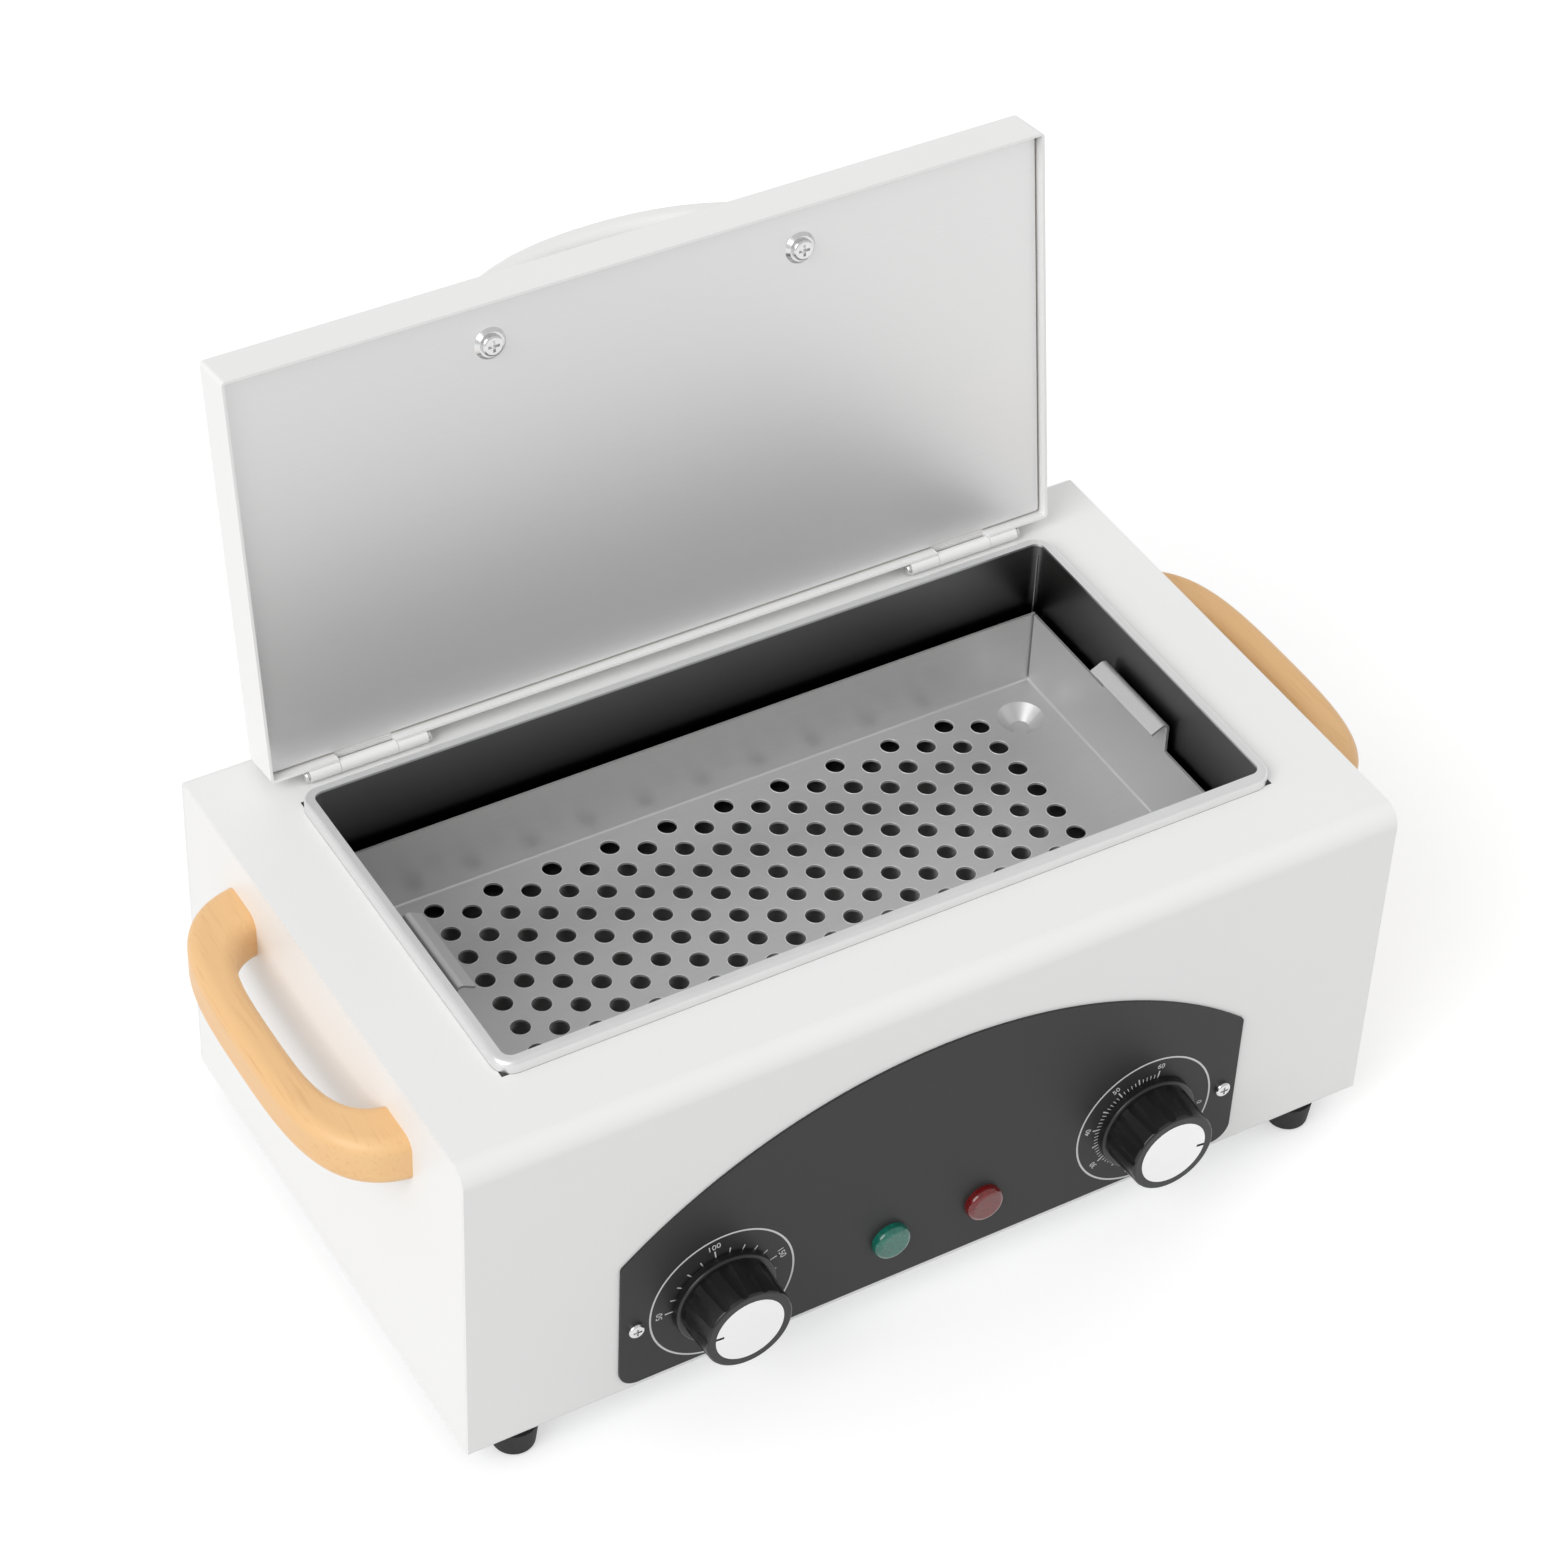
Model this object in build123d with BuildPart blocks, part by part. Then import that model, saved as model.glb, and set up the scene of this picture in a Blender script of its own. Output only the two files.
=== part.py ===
from build123d import *

import os
from math import cos, radians, sin

# Desk-top dry heat sterilizer. Millimetres, +Z up, +X to the operator's right.
# The origin lies on the surface it stands on, under the middle of the housing.

# Housing sheet metal
housing_length = 300.0
housing_depth = 175.0
housing_height = 113.0
sheet = 0.8
front_fold_radius = 6.0
back_fold_radius = 2.5
bottom_fold_radius = 2.0
bottom_flange = 14.0
side_flange = 11.0
seam_gap = 0.1
base_thickness = 1.0
base_inset = 2.0

# Rubber feet
foot_height = 9.0
foot_top_radius = 7.2
foot_bottom_radius = 6.2
foot_spacing_x = 264.0
foot_spacing_y = 160.0
foot_recess_radius = 4.2
foot_recess_depth = 4.5

# Chamber tank and its rolled rim
chamber_length = 244.0
chamber_width = 118.0
chamber_depth = 56.0
chamber_centre_y = 1.3
chamber_corner_radius = 3.0
rim_width = 3.2
rim_height = 4.0
cutout_clearance = 0.5

# Perforated tray
tray_length = 236.0
tray_width = 113.0
tray_height = 26.8
tray_shift_x = 2.5
tray_fold_radius = 1.6
tray_corner_slit = 0.6
hole_radius = 3.0
hole_pitch_x = 9.7
hole_pitch_y = 10.8
hole_columns = 20
hole_rows = 10
dimple_spacing_x = 211.0
dimple_spacing_y = 82.0
dimple_radius = 7.4
dimple_flat_radius = 3.0
dimple_depth = 4.0
ear_width = 33.0
ear_rise = 12.3
ear_flap = 7.2
ear_flap_slope = 28.0
ear_bend_radius = 1.2
ear_corner_radius = 3.0

# Lid
lid_length = 260.5
lid_width = 129.6
lid_depth = 15.5
lid_fold_radius = 1.2
lid_open_angle = 98.5
lid_mouth_drop = 1.0
liner_thickness = 0.6
liner_gap = 0.8
closed_gap = 0.3
lid_shift_y = 1.3

# Hinges
hinge_spacing = 200.0
hinge_pin_radius = 0.8
hinge_leaf_thickness = 1.2
hinge_base_leaf_width = 13.0
middle_knuckle = 18.0
outer_knuckle = 9.5
knuckle_end_gap = 0.15
pin_head_length = 1.3
running_clearance = 0.05
swing_clearance = 0.25

# Bow handles
handle_screw_radius = 2.0
handle_screw_clearance = 0.2
handle_screw_bite = 10.0
side_handle_foot_spacing = 97.0
side_handle_foot_width = 18.0
side_handle_reach = 24.5
side_handle_thickness = 11.0
side_handle_height = 16.0
side_handle_shoulder = 0.99
side_handle_rise = 90.0
lid_handle_foot_spacing = 99.0
lid_handle_foot_width = 16.0
lid_handle_reach = 23.5
lid_handle_thickness = 8.7
lid_handle_height = 15.0
lid_handle_shoulder = 0.55
lid_handle_edge_distance = 14.4

# Control panel
panel_half_width = 103.0
panel_rise = 3.5
panel_shoulder = 49.0
panel_arch = 38.9
panel_thickness = 0.8
panel_foot_radius = 6.0
panel_shoulder_radius = 1.8
panel_screw_spacing = 196.4
panel_screw_rise = 26.2

# Dials, knobs and their switches
dial_spacing = 141.2
dial_rise = 26.9
knob_skirt_radius = 16.0
knob_skirt_thickness = 2.7
knob_grip_radius = 14.3
knob_grip_top_radius = 13.7
knob_height = 15.3
knob_panel_gap = 0.4
knob_flutes = 14
knob_flute_radius = 3.6
knob_flute_depth = 0.8
knob_nut_recess_radius = 9.0
knob_nut_recess_depth = 3.6
cap_radius = 10.9
cap_thickness = 0.8
cap_notch_length = 2.6
cap_notch_width = 0.9
spindle_radius = 3.0
spindle_flat = 1.2
spindle_bite = 9.0
switch_neck_radius = 5.0
switch_neck_clearance = 0.1
switch_depth = 22.0
switch_height = 24.0
thermostat_body_width = 32.0
timer_body_width = 40.0
thermostat_rest_angle = 173.6
timer_rest_angle = -8.1

# Pilot lamps
lamp_spacing = 31.2
lamp_rise = 20.2
lens_radius = 6.0
lens_proud = 3.0
lens_flange = 1.2
lens_plug_radius = 3.5
lens_plug_length = 4.0
lamp_holder_radius = 4.8
lamp_holder_length = 22.0

# Heat and wiring parts inside the housing
element_radius = 3.25
element_gap = 0.2
element_run = 190.0
element_pitch = 33.0
element_pin_length = 14.0
strap_width = 12.0
strap_thickness = 1.0
jacket_gap = 0.5
jacket_wall = 10.0
jacket_floor = 6.0
heater_space = 12.0
capillary_radius = 0.8
bulb_radius = 3.0
bulb_length = 70.0
gland_rise = 16.0
gland_x = 110.0
gland_bore_radius = 3.6
gland_neck_radius = 6.5
gland_flange_radius = 9.0

# Heights and faces that follow from the sizes above
housing_bottom = foot_height + base_thickness
housing_top = housing_bottom + housing_height
front_face = housing_depth / 2
back_face = housing_depth / 2
side_face = housing_length / 2
rim_top = housing_top + rim_height
chamber_floor = rim_top - chamber_depth
chamber_underside = chamber_floor - sheet
tray_floor = chamber_floor + seam_gap + sheet + dimple_depth
tray_underside = tray_floor - sheet
tray_top = tray_underside + tray_height
knuckle_radius = hinge_pin_radius + running_clearance + hinge_leaf_thickness
hinge_rise = knuckle_radius + swing_clearance
hinge_height = housing_top + hinge_rise
lid_wall_offset = knuckle_radius + running_clearance
lid_overhang = (lid_width - chamber_width - 2 * rim_width) / 2
lid_back = chamber_centre_y + chamber_width / 2 + rim_width + lid_overhang + lid_shift_y
hinge_y = lid_back + lid_wall_offset
panel_face = front_face + panel_thickness
dial_height = housing_bottom + dial_rise
lamp_height = housing_bottom + lamp_rise

# The lid stands open: its own plane has its origin on the hinge axis, Y towards the rear
# wall and Z from the mouth to the outer skin.
open_sine = sin(radians(lid_open_angle))
open_cosine = cos(radians(lid_open_angle))
lid_plane = Plane(
    origin=(0, hinge_y, hinge_height), x_dir=(1, 0, 0), z_dir=(0, open_sine, open_cosine)
)
lid_section = Plane(
    origin=(0, hinge_y, hinge_height), x_dir=lid_plane.y_dir, z_dir=(1, 0, 0)
)
lid_mouth = -lid_mouth_drop
lid_skin = lid_mouth + lid_depth
lid_middle = -(lid_wall_offset + lid_width / 2)
liner_face = rim_height + closed_gap - hinge_rise
liner_back = liner_face + liner_thickness
lid_screw_y = -(lid_wall_offset + lid_width - lid_handle_edge_distance)

os.makedirs("parts", exist_ok=True)


def save(piece, name):
    """Name a finished piece and write it to its own file."""
    piece.part.label = name
    export_step(piece.part, f"parts/{name}.step")


def pan_screw(radius, head_radius, head_height, length):
    """Pan-head cross-recess screw, head seat at z = 0 and shank downwards."""
    slot = head_radius * 0.26
    with BuildPart() as screw:
        Cylinder(head_radius, head_height, align=(Align.CENTER, Align.CENTER, Align.MIN))
        fillet(screw.faces().sort_by(Axis.Z)[-1].edges(), radius=head_height * 0.6)
        Cylinder(radius, length, align=(Align.CENTER, Align.CENTER, Align.MAX))
        with BuildSketch(Plane.XY.offset(head_height)):
            Rectangle(head_radius * 1.1, slot)
            Rectangle(slot, head_radius * 1.1)
        extrude(amount=-head_height * 0.6, mode=Mode.SUBTRACT)
    return screw.part


def hex_nut(bore_radius, flats, height):
    """Hexagon nut, seat at z = 0."""
    with BuildPart() as nut:
        with BuildSketch():
            RegularPolygon(flats / 2, 6, major_radius=False)
            Circle(bore_radius, mode=Mode.SUBTRACT)
        extrude(amount=height)
    return nut.part


# Housing shell: one sheet folded into bottom flange, front, top, back and bottom flange
with BuildPart() as housing_shell:
    with BuildSketch(Plane.YZ):
        with BuildLine() as shell_outline:
            FilletPolyline(
                (-front_face + bottom_flange, housing_bottom),
                (-front_face, housing_bottom),
                (-front_face, housing_top),
                (back_face, housing_top),
                (back_face, housing_bottom),
                (back_face - bottom_flange, housing_bottom),
                radius=[bottom_fold_radius, front_fold_radius, back_fold_radius, bottom_fold_radius],
            )
            offset(amount=sheet, side=Side.RIGHT)
        make_face()
    extrude(amount=side_face, both=True)
    # The bottom flanges stop short of the side panels
    with BuildSketch(Plane.XY.offset(housing_bottom)):
        with Locations((side_face, 0), (-side_face, 0)):
            Rectangle(2 * (side_flange + 1), housing_depth - 2 * sheet)
    extrude(amount=2 * sheet, mode=Mode.SUBTRACT)
    # Sharp-cornered cut-out that the chamber drops into
    with BuildSketch(Plane.XY.offset(housing_top)):
        with Locations((0, chamber_centre_y)):
            Rectangle(
                chamber_length + 2 * (sheet + cutout_clearance),
                chamber_width + 2 * (sheet + cutout_clearance),
            )
    extrude(amount=-2 * sheet, mode=Mode.SUBTRACT)
    # Holes in the front for the two switches, the two lamps and the panel screws
    with BuildSketch(Plane.XZ.offset(front_face)):
        with Locations((-dial_spacing / 2, dial_height), (dial_spacing / 2, dial_height)):
            Circle(switch_neck_radius + switch_neck_clearance)
        with Locations((-lamp_spacing / 2, lamp_height), (lamp_spacing / 2, lamp_height)):
            Circle(lamp_holder_radius + switch_neck_clearance)
        with Locations((0, housing_bottom + panel_screw_rise)):
            with GridLocations(panel_screw_spacing, 1, 2, 1):
                Circle(1.4 + seam_gap)
    extrude(amount=-2 * sheet, mode=Mode.SUBTRACT)
    # Hole in the back for the cord gland
    with BuildSketch(Plane.XZ.offset(-back_face)):
        with Locations((gland_x, housing_bottom + gland_rise)):
            Circle(gland_neck_radius + seam_gap)
    extrude(amount=2 * sheet, mode=Mode.SUBTRACT)
    # Holes for the foot screws in the bottom flanges
    with BuildSketch(Plane.XY.offset(housing_bottom)):
        with GridLocations(foot_spacing_x, foot_spacing_y, 2, 2):
            Circle(handle_screw_radius + handle_screw_clearance)
    extrude(amount=2 * sheet, mode=Mode.SUBTRACT)
save(housing_shell, "housing_shell")


def side_panel(side):
    """Pan that closes one end of the housing, its flanges inside the folded shell."""
    inner = sheet + seam_gap
    with BuildPart() as panel:
        with BuildSketch(Plane.YZ.offset(side * side_face)) as outline:
            with Locations(((back_face - front_face) / 2, housing_bottom)):
                Rectangle(
                    housing_depth - 2 * inner,
                    housing_height - inner,
                    align=(Align.CENTER, Align.MIN),
                )
            top_corners = outline.vertices().group_by(Axis.Y)[-1].sort_by(Axis.X)
            fillet(top_corners[0], radius=front_fold_radius - inner)
            fillet(outline.vertices().group_by(Axis.Y)[-1].sort_by(Axis.X)[-1], radius=back_fold_radius - inner)
            fillet(outline.vertices().group_by(Axis.Y)[0], radius=bottom_fold_radius - inner)
        extrude(amount=-side * side_flange)
        inward = Axis.X if side < 0 else Axis((0, 0, 0), (-1, 0, 0))
        offset(amount=-sheet, openings=panel.faces().sort_by(inward)[-1])
        with BuildSketch(Plane.YZ.offset(side * side_face)):
            with Locations((0, housing_bottom + side_handle_rise)):
                with GridLocations(side_handle_foot_spacing, 1, 2, 1):
                    Circle(handle_screw_radius + handle_screw_clearance)
        extrude(amount=-side * 2 * sheet, mode=Mode.SUBTRACT)
    return panel


save(side_panel(-1), "left_side_panel")
save(side_panel(1), "right_side_panel")

# Base plate: flat sheet under the flanges, with two fields of cooling slots
with BuildPart() as base_plate:
    with BuildSketch(Plane.XY.offset(foot_height)):
        RectangleRounded(housing_length - 2 * base_inset, housing_depth - 2 * base_inset, 2)
        with GridLocations(foot_spacing_x, foot_spacing_y, 2, 2):
            Circle(handle_screw_radius + handle_screw_clearance, mode=Mode.SUBTRACT)
        with GridLocations(150, 12, 2, 9):
            SlotOverall(60, 3.6, mode=Mode.SUBTRACT)
    extrude(amount=base_thickness)
save(base_plate, "base_plate")

# Feet: tapered rubber buffers with a recess for the screw head
with BuildPart() as foot:
    with BuildSketch(Plane.XZ):
        with BuildLine():
            Polyline(
                (0, 0),
                (foot_bottom_radius, 0),
                (foot_top_radius, foot_height),
                (0, foot_height),
                close=True,
            )
        make_face()
    revolve(axis=Axis.Z)
    fillet(foot.faces().sort_by(Axis.Z)[0].edges(), radius=1.2)
    with Locations((0, 0, foot_height)):
        CounterBoreHole(
            handle_screw_radius + handle_screw_clearance,
            foot_recess_radius,
            0.01,
            depth=foot_height,
        )
    with BuildSketch():
        Circle(foot_recess_radius)
    extrude(amount=foot_recess_depth, mode=Mode.SUBTRACT)
foot_names = ["front_left", "front_right", "back_left", "back_right"]
foot_signs = [(-1, -1), (1, -1), (-1, 1), (1, 1)]
for place, (sign_x, sign_y) in zip(foot_names, foot_signs):
    with BuildPart() as placed_foot:
        with Locations((sign_x * foot_spacing_x / 2, sign_y * foot_spacing_y / 2, 0)):
            add(foot.part)
    save(placed_foot, f"foot_{place}")

# Foot screws come up through foot, base plate and flange into nuts
foot_screw_length = foot_height - foot_recess_depth + base_thickness + sheet + 5
foot_screw = pan_screw(handle_screw_radius, 3.6, 2.2, foot_screw_length)
with BuildPart() as foot_screws:
    for sign_x, sign_y in foot_signs:
        seat = (sign_x * foot_spacing_x / 2, sign_y * foot_spacing_y / 2, foot_recess_depth)
        with Locations(Location(seat, (180, 0, 0))):
            add(foot_screw)
save(foot_screws, "foot_screws")
with BuildPart() as foot_nuts:
    for sign_x, sign_y in foot_signs:
        seat = (sign_x * foot_spacing_x / 2, sign_y * foot_spacing_y / 2, housing_bottom + sheet)
        with Locations(seat):
            add(hex_nut(handle_screw_radius + seam_gap, 7, 3))
save(foot_nuts, "foot_nuts")

# Chamber: drawn tank whose edge is rolled over into a bead that lies on the housing top
with BuildPart() as chamber:
    tank_length = chamber_length + 2 * sheet
    tank_width = chamber_width + 2 * sheet
    bead_length = chamber_length + 2 * rim_width
    bead_width = chamber_width + 2 * rim_width
    bead_radius = chamber_corner_radius + rim_width
    with BuildSketch(Plane.XY.offset(chamber_underside)):
        with Locations((0, chamber_centre_y)):
            RectangleRounded(tank_length, tank_width, chamber_corner_radius + sheet)
    extrude(amount=rim_top - chamber_underside)
    fillet(chamber.faces().sort_by(Axis.Z)[0].edges(), radius=chamber_corner_radius + sheet - 0.1)
    with BuildSketch(Plane.XY.offset(housing_top)):
        with Locations((0, chamber_centre_y)):
            RectangleRounded(bead_length, bead_width, bead_radius)
    extrude(amount=rim_height)
    fillet(chamber.faces().sort_by(Axis.Z)[-1].edges(), radius=rim_width / 2 - 0.05)
    # Inside of the tank
    with BuildPart(mode=Mode.PRIVATE) as tank_inside:
        with BuildSketch(Plane.XY.offset(chamber_floor)):
            with Locations((0, chamber_centre_y)):
                RectangleRounded(chamber_length, chamber_width, chamber_corner_radius)
        extrude(amount=chamber_depth + 1)
        fillet(
            tank_inside.faces().sort_by(Axis.Z)[0].edges(), radius=chamber_corner_radius - 0.1
        )
    add(tank_inside.part, mode=Mode.SUBTRACT)
save(chamber, "chamber")

# Wool jacket round the chamber, with a heater space under the tank floor
jacket_length = tank_length + 2 * (jacket_gap + jacket_wall)
jacket_width = tank_width + 2 * (jacket_gap + jacket_wall)
jacket_top = housing_top - sheet - jacket_gap
heater_floor = chamber_underside - heater_space
jacket_underside = heater_floor - jacket_floor
capillary_height = heater_floor + bulb_radius + 0.5
capillary_x = -dial_spacing / 2
with BuildPart() as insulation_jacket:
    with BuildSketch(Plane.XY.offset(jacket_underside)):
        with Locations((0, chamber_centre_y)):
            Rectangle(jacket_length, jacket_width)
    extrude(amount=jacket_top - jacket_underside)
    with BuildSketch(Plane.XY.offset(heater_floor)):
        with Locations((0, chamber_centre_y)):
            Rectangle(tank_length + 2 * jacket_gap, tank_width + 2 * jacket_gap)
    extrude(amount=jacket_top - heater_floor, mode=Mode.SUBTRACT)
    # Way in for the sensing tube
    with BuildSketch(Plane.XZ.offset(front_face)):
        with Locations((capillary_x, capillary_height)):
            Circle(capillary_radius + 0.5)
    extrude(amount=-housing_depth / 2, mode=Mode.SUBTRACT)
save(insulation_jacket, "insulation_jacket")

# Two folded brackets carry the jacket above the base plate
cradle_height = jacket_underside - seam_gap - sheet - housing_bottom
cradle_half_depth = 50.0
with BuildPart() as insulation_brackets:
    for bracket_x in (-70, 70):
        with BuildSketch(Plane.XZ.offset(-cradle_half_depth - 10)):
            with BuildLine():
                FilletPolyline(
                    (bracket_x - 26, housing_bottom),
                    (bracket_x - 14, housing_bottom),
                    (bracket_x - 14, housing_bottom + cradle_height),
                    (bracket_x + 14, housing_bottom + cradle_height),
                    (bracket_x + 14, housing_bottom),
                    (bracket_x + 26, housing_bottom),
                    radius=1.5,
                )
                offset(amount=sheet, side=Side.LEFT)
            make_face()
        extrude(amount=2 * cradle_half_depth)
save(insulation_brackets, "insulation_brackets")

# Heating element: one sheathed rod bent into four runs under the tank, with a pin at each end
element_height = chamber_underside - element_gap - element_radius
run_end = element_run / 2
run_rows = [chamber_centre_y + element_pitch * row for row in (1.5, 0.5, -0.5, -1.5)]
with BuildPart() as heating_element:
    with BuildLine() as element_route:
        FilletPolyline(
            (run_end, run_rows[0], element_height),
            (-run_end, run_rows[0], element_height),
            (-run_end, run_rows[1], element_height),
            (run_end, run_rows[1], element_height),
            (run_end, run_rows[2], element_height),
            (-run_end, run_rows[2], element_height),
            (-run_end, run_rows[3], element_height),
            (run_end, run_rows[3], element_height),
            radius=12,
        )
    with BuildSketch(Plane(origin=element_route.line @ 0, z_dir=element_route.line % 0)):
        Circle(element_radius)
    sweep()
    for row in (run_rows[0], run_rows[3]):
        with BuildSketch(Plane.YZ.offset(run_end)):
            with Locations((row, element_height)):
                Circle(1.5)
        extrude(amount=element_pin_length)
save(heating_element, "heating_element")

# Straps that hold the element against the tank floor
strap_drop = 2 * element_radius + element_gap + seam_gap
strap_half = run_rows[0] - chamber_centre_y + element_radius
with BuildPart() as element_straps:
    for strap_x in (-run_end + 12, 45):
        with BuildSketch(Plane.YZ.offset(strap_x)):
            with BuildLine():
                FilletPolyline(
                    (chamber_centre_y - strap_half - 5, chamber_underside - strap_thickness - 0.1),
                    (chamber_centre_y - strap_half - 1.6, chamber_underside - strap_thickness - 0.1),
                    (chamber_centre_y - strap_half - 1.6, chamber_underside - strap_drop - strap_thickness),
                    (chamber_centre_y + strap_half + 1.6, chamber_underside - strap_drop - strap_thickness),
                    (chamber_centre_y + strap_half + 1.6, chamber_underside - strap_thickness - 0.1),
                    (chamber_centre_y + strap_half + 5, chamber_underside - strap_thickness - 0.1),
                    radius=0.5,
                )
                offset(amount=strap_thickness, side=Side.LEFT)
            make_face()
        extrude(amount=strap_width)
save(element_straps, "element_straps")

# Tray: folded perforated sheet with open corner slits, four dimples and two lifting ears
with BuildPart() as tray:
    with BuildSketch(Plane.XY.offset(tray_underside)):
        with Locations((tray_shift_x, chamber_centre_y)):
            Rectangle(tray_length, tray_width)
    extrude(amount=tray_height)
    fillet(tray.faces().sort_by(Axis.Z)[0].edges(), radius=tray_fold_radius)
    offset(amount=-sheet, openings=tray.faces().sort_by(Axis.Z)[-1])
    # The end walls stop short of the long walls
    with BuildSketch(Plane.XY.offset(tray_top)):
        slit_y = tray_width / 2 - sheet - tray_corner_slit / 2
        with Locations((tray_shift_x, chamber_centre_y)):
            with GridLocations(tray_length - sheet, 2 * slit_y, 2, 2):
                Rectangle(3 * sheet, tray_corner_slit)
    extrude(amount=-(tray_height - tray_fold_radius), mode=Mode.SUBTRACT)
    # Staggered round holes, then one column less row in between
    with BuildSketch(Plane.XY.offset(tray_floor)):
        with Locations((tray_shift_x - hole_pitch_x / 2, chamber_centre_y)):
            with GridLocations(2 * hole_pitch_x, hole_pitch_y, hole_columns // 2, hole_rows):
                Circle(hole_radius)
        with Locations((tray_shift_x + hole_pitch_x / 2, chamber_centre_y)):
            with GridLocations(2 * hole_pitch_x, hole_pitch_y, hole_columns // 2, hole_rows - 1):
                Circle(hole_radius)
    extrude(amount=-2 * sheet, mode=Mode.SUBTRACT)
    # Dimples pressed down as feet for the tray
    dimple_wall = 0.5
    with Locations((tray_shift_x, chamber_centre_y, tray_underside)):
        with GridLocations(dimple_spacing_x, dimple_spacing_y, 2, 2):
            Cone(
                dimple_flat_radius + dimple_wall,
                dimple_radius + dimple_wall,
                dimple_depth,
                align=(Align.CENTER, Align.CENTER, Align.MAX),
            )
    with Locations((tray_shift_x, chamber_centre_y, tray_floor)):
        with GridLocations(dimple_spacing_x, dimple_spacing_y, 2, 2):
            Cone(
                dimple_flat_radius,
                dimple_radius,
                dimple_depth,
                align=(Align.CENTER, Align.CENTER, Align.MAX),
                mode=Mode.SUBTRACT,
            )
    # Ears: the middle of each end wall runs on upwards and folds in over the tray
    for side in (-1, 1):
        wall_x = tray_shift_x + side * tray_length / 2
        bend_z = tray_top + ear_rise
        flap_x = wall_x - side * ear_flap * cos(radians(ear_flap_slope))
        flap_z = bend_z - ear_flap * sin(radians(ear_flap_slope))
        with BuildSketch(Plane.XZ.offset(-chamber_centre_y - ear_width / 2)):
            with BuildLine():
                FilletPolyline(
                    (wall_x, tray_top - sheet),
                    (wall_x, bend_z),
                    (flap_x, flap_z),
                    radius=ear_bend_radius + sheet,
                )
                offset(amount=sheet, side=Side.RIGHT if side < 0 else Side.LEFT)
            make_face()
        extrude(amount=ear_width)
save(tray, "tray")


def bow_handle(plane, foot_spacing, foot_width, reach, thickness, height, shoulder):
    """Bow handle on a plane: X runs from foot to foot, Z away from the wall it stands on.

    The shoulder is how full the bow is between its crown and its feet, up to 1.
    """
    outer_half = (foot_spacing + foot_width) / 2
    inner_half = (foot_spacing - foot_width) / 2
    inner_reach = reach - thickness
    section = Plane(plane.origin, x_dir=plane.x_dir, z_dir=-plane.y_dir)
    with BuildPart() as handle:
        with BuildSketch(section.offset(-height / 2)):
            with BuildLine():
                for half, crown in ((outer_half, reach), (inner_half, inner_reach)):
                    for end in (-1, 1):
                        Bezier(
                            (0, crown),
                            (end * half * 0.5, crown),
                            (end * half * (0.53 + 0.41 * shoulder), crown * shoulder),
                            (end * half, 0),
                        )
                Line((-outer_half, 0), (-inner_half, 0))
                Line((inner_half, 0), (outer_half, 0))
            make_face()
        extrude(amount=height)
        flats = handle.faces().filter_by(
            lambda face: abs(face.normal_at().dot(plane.y_dir)) > 0.999
        )
        long_edges = [
            edge for edge in flats.edges() if plane.to_local_coords(edge.center()).Z > 1
        ]
        fillet(long_edges, radius=thickness * 0.38)
        # Pilot bores for the screws
        with BuildSketch(plane):
            with GridLocations(foot_spacing, 1, 2, 1):
                Circle(handle_screw_radius + handle_screw_clearance)
        extrude(amount=handle_screw_bite + 1, mode=Mode.SUBTRACT)
    return handle


# Beech carrying handles on both ends
for name, side in (("left_handle", -1), ("right_handle", 1)):
    handle_plane = Plane(
        origin=(side * side_face, 0, housing_bottom + side_handle_rise),
        x_dir=(0, 1, 0),
        z_dir=(side, 0, 0),
    )
    side_handle = bow_handle(
        handle_plane,
        side_handle_foot_spacing,
        side_handle_foot_width,
        side_handle_reach,
        side_handle_thickness,
        side_handle_height,
        side_handle_shoulder,
    )
    save(side_handle, name)

# Screws for the carrying handles, heads inside the side panels
handle_screw = pan_screw(handle_screw_radius, 3.8, 2.4, sheet + handle_screw_bite)
with BuildPart() as handle_screws:
    for side in (-1, 1):
        for foot_y in (-side_handle_foot_spacing / 2, side_handle_foot_spacing / 2):
            seat = (side * (side_face - sheet), foot_y, housing_bottom + side_handle_rise)
            with Locations(Location(seat, (0, -side * 90, 0))):
                add(handle_screw)
save(handle_screws, "handle_screws")

# Lid shell: shallow folded pan, its rear wall notched for the middle hinge knuckles
with BuildPart() as lid_shell:
    with BuildSketch(lid_plane.offset(lid_mouth)):
        with Locations((0, lid_middle)):
            Rectangle(lid_length, lid_width)
    extrude(amount=lid_depth)
    lid_axis = Axis(lid_plane.origin, lid_plane.z_dir)
    fillet(lid_shell.edges().filter_by(lid_axis), radius=lid_fold_radius)
    fillet(lid_shell.faces().sort_by(lid_axis)[-1].edges(), radius=lid_fold_radius)
    offset(amount=-sheet, openings=lid_shell.faces().sort_by(lid_axis)[0])
    with BuildSketch(lid_plane.offset(lid_mouth)):
        with Locations((0, -lid_wall_offset - sheet)):
            with GridLocations(hinge_spacing, 1, 2, 1):
                Rectangle(middle_knuckle + 2 * knuckle_end_gap, 4 * sheet)
    extrude(amount=lid_mouth_drop + knuckle_radius + 1, mode=Mode.SUBTRACT)
    with BuildSketch(lid_plane.offset(lid_skin)):
        with Locations((0, lid_screw_y)):
            with GridLocations(lid_handle_foot_spacing, 1, 2, 1):
                Circle(handle_screw_radius + handle_screw_clearance)
    extrude(amount=-2 * sheet, mode=Mode.SUBTRACT)
save(lid_shell, "lid_shell")

liner_length = lid_length - 2 * (sheet + liner_gap)
liner_width = lid_width - 2 * (sheet + liner_gap)


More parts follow.
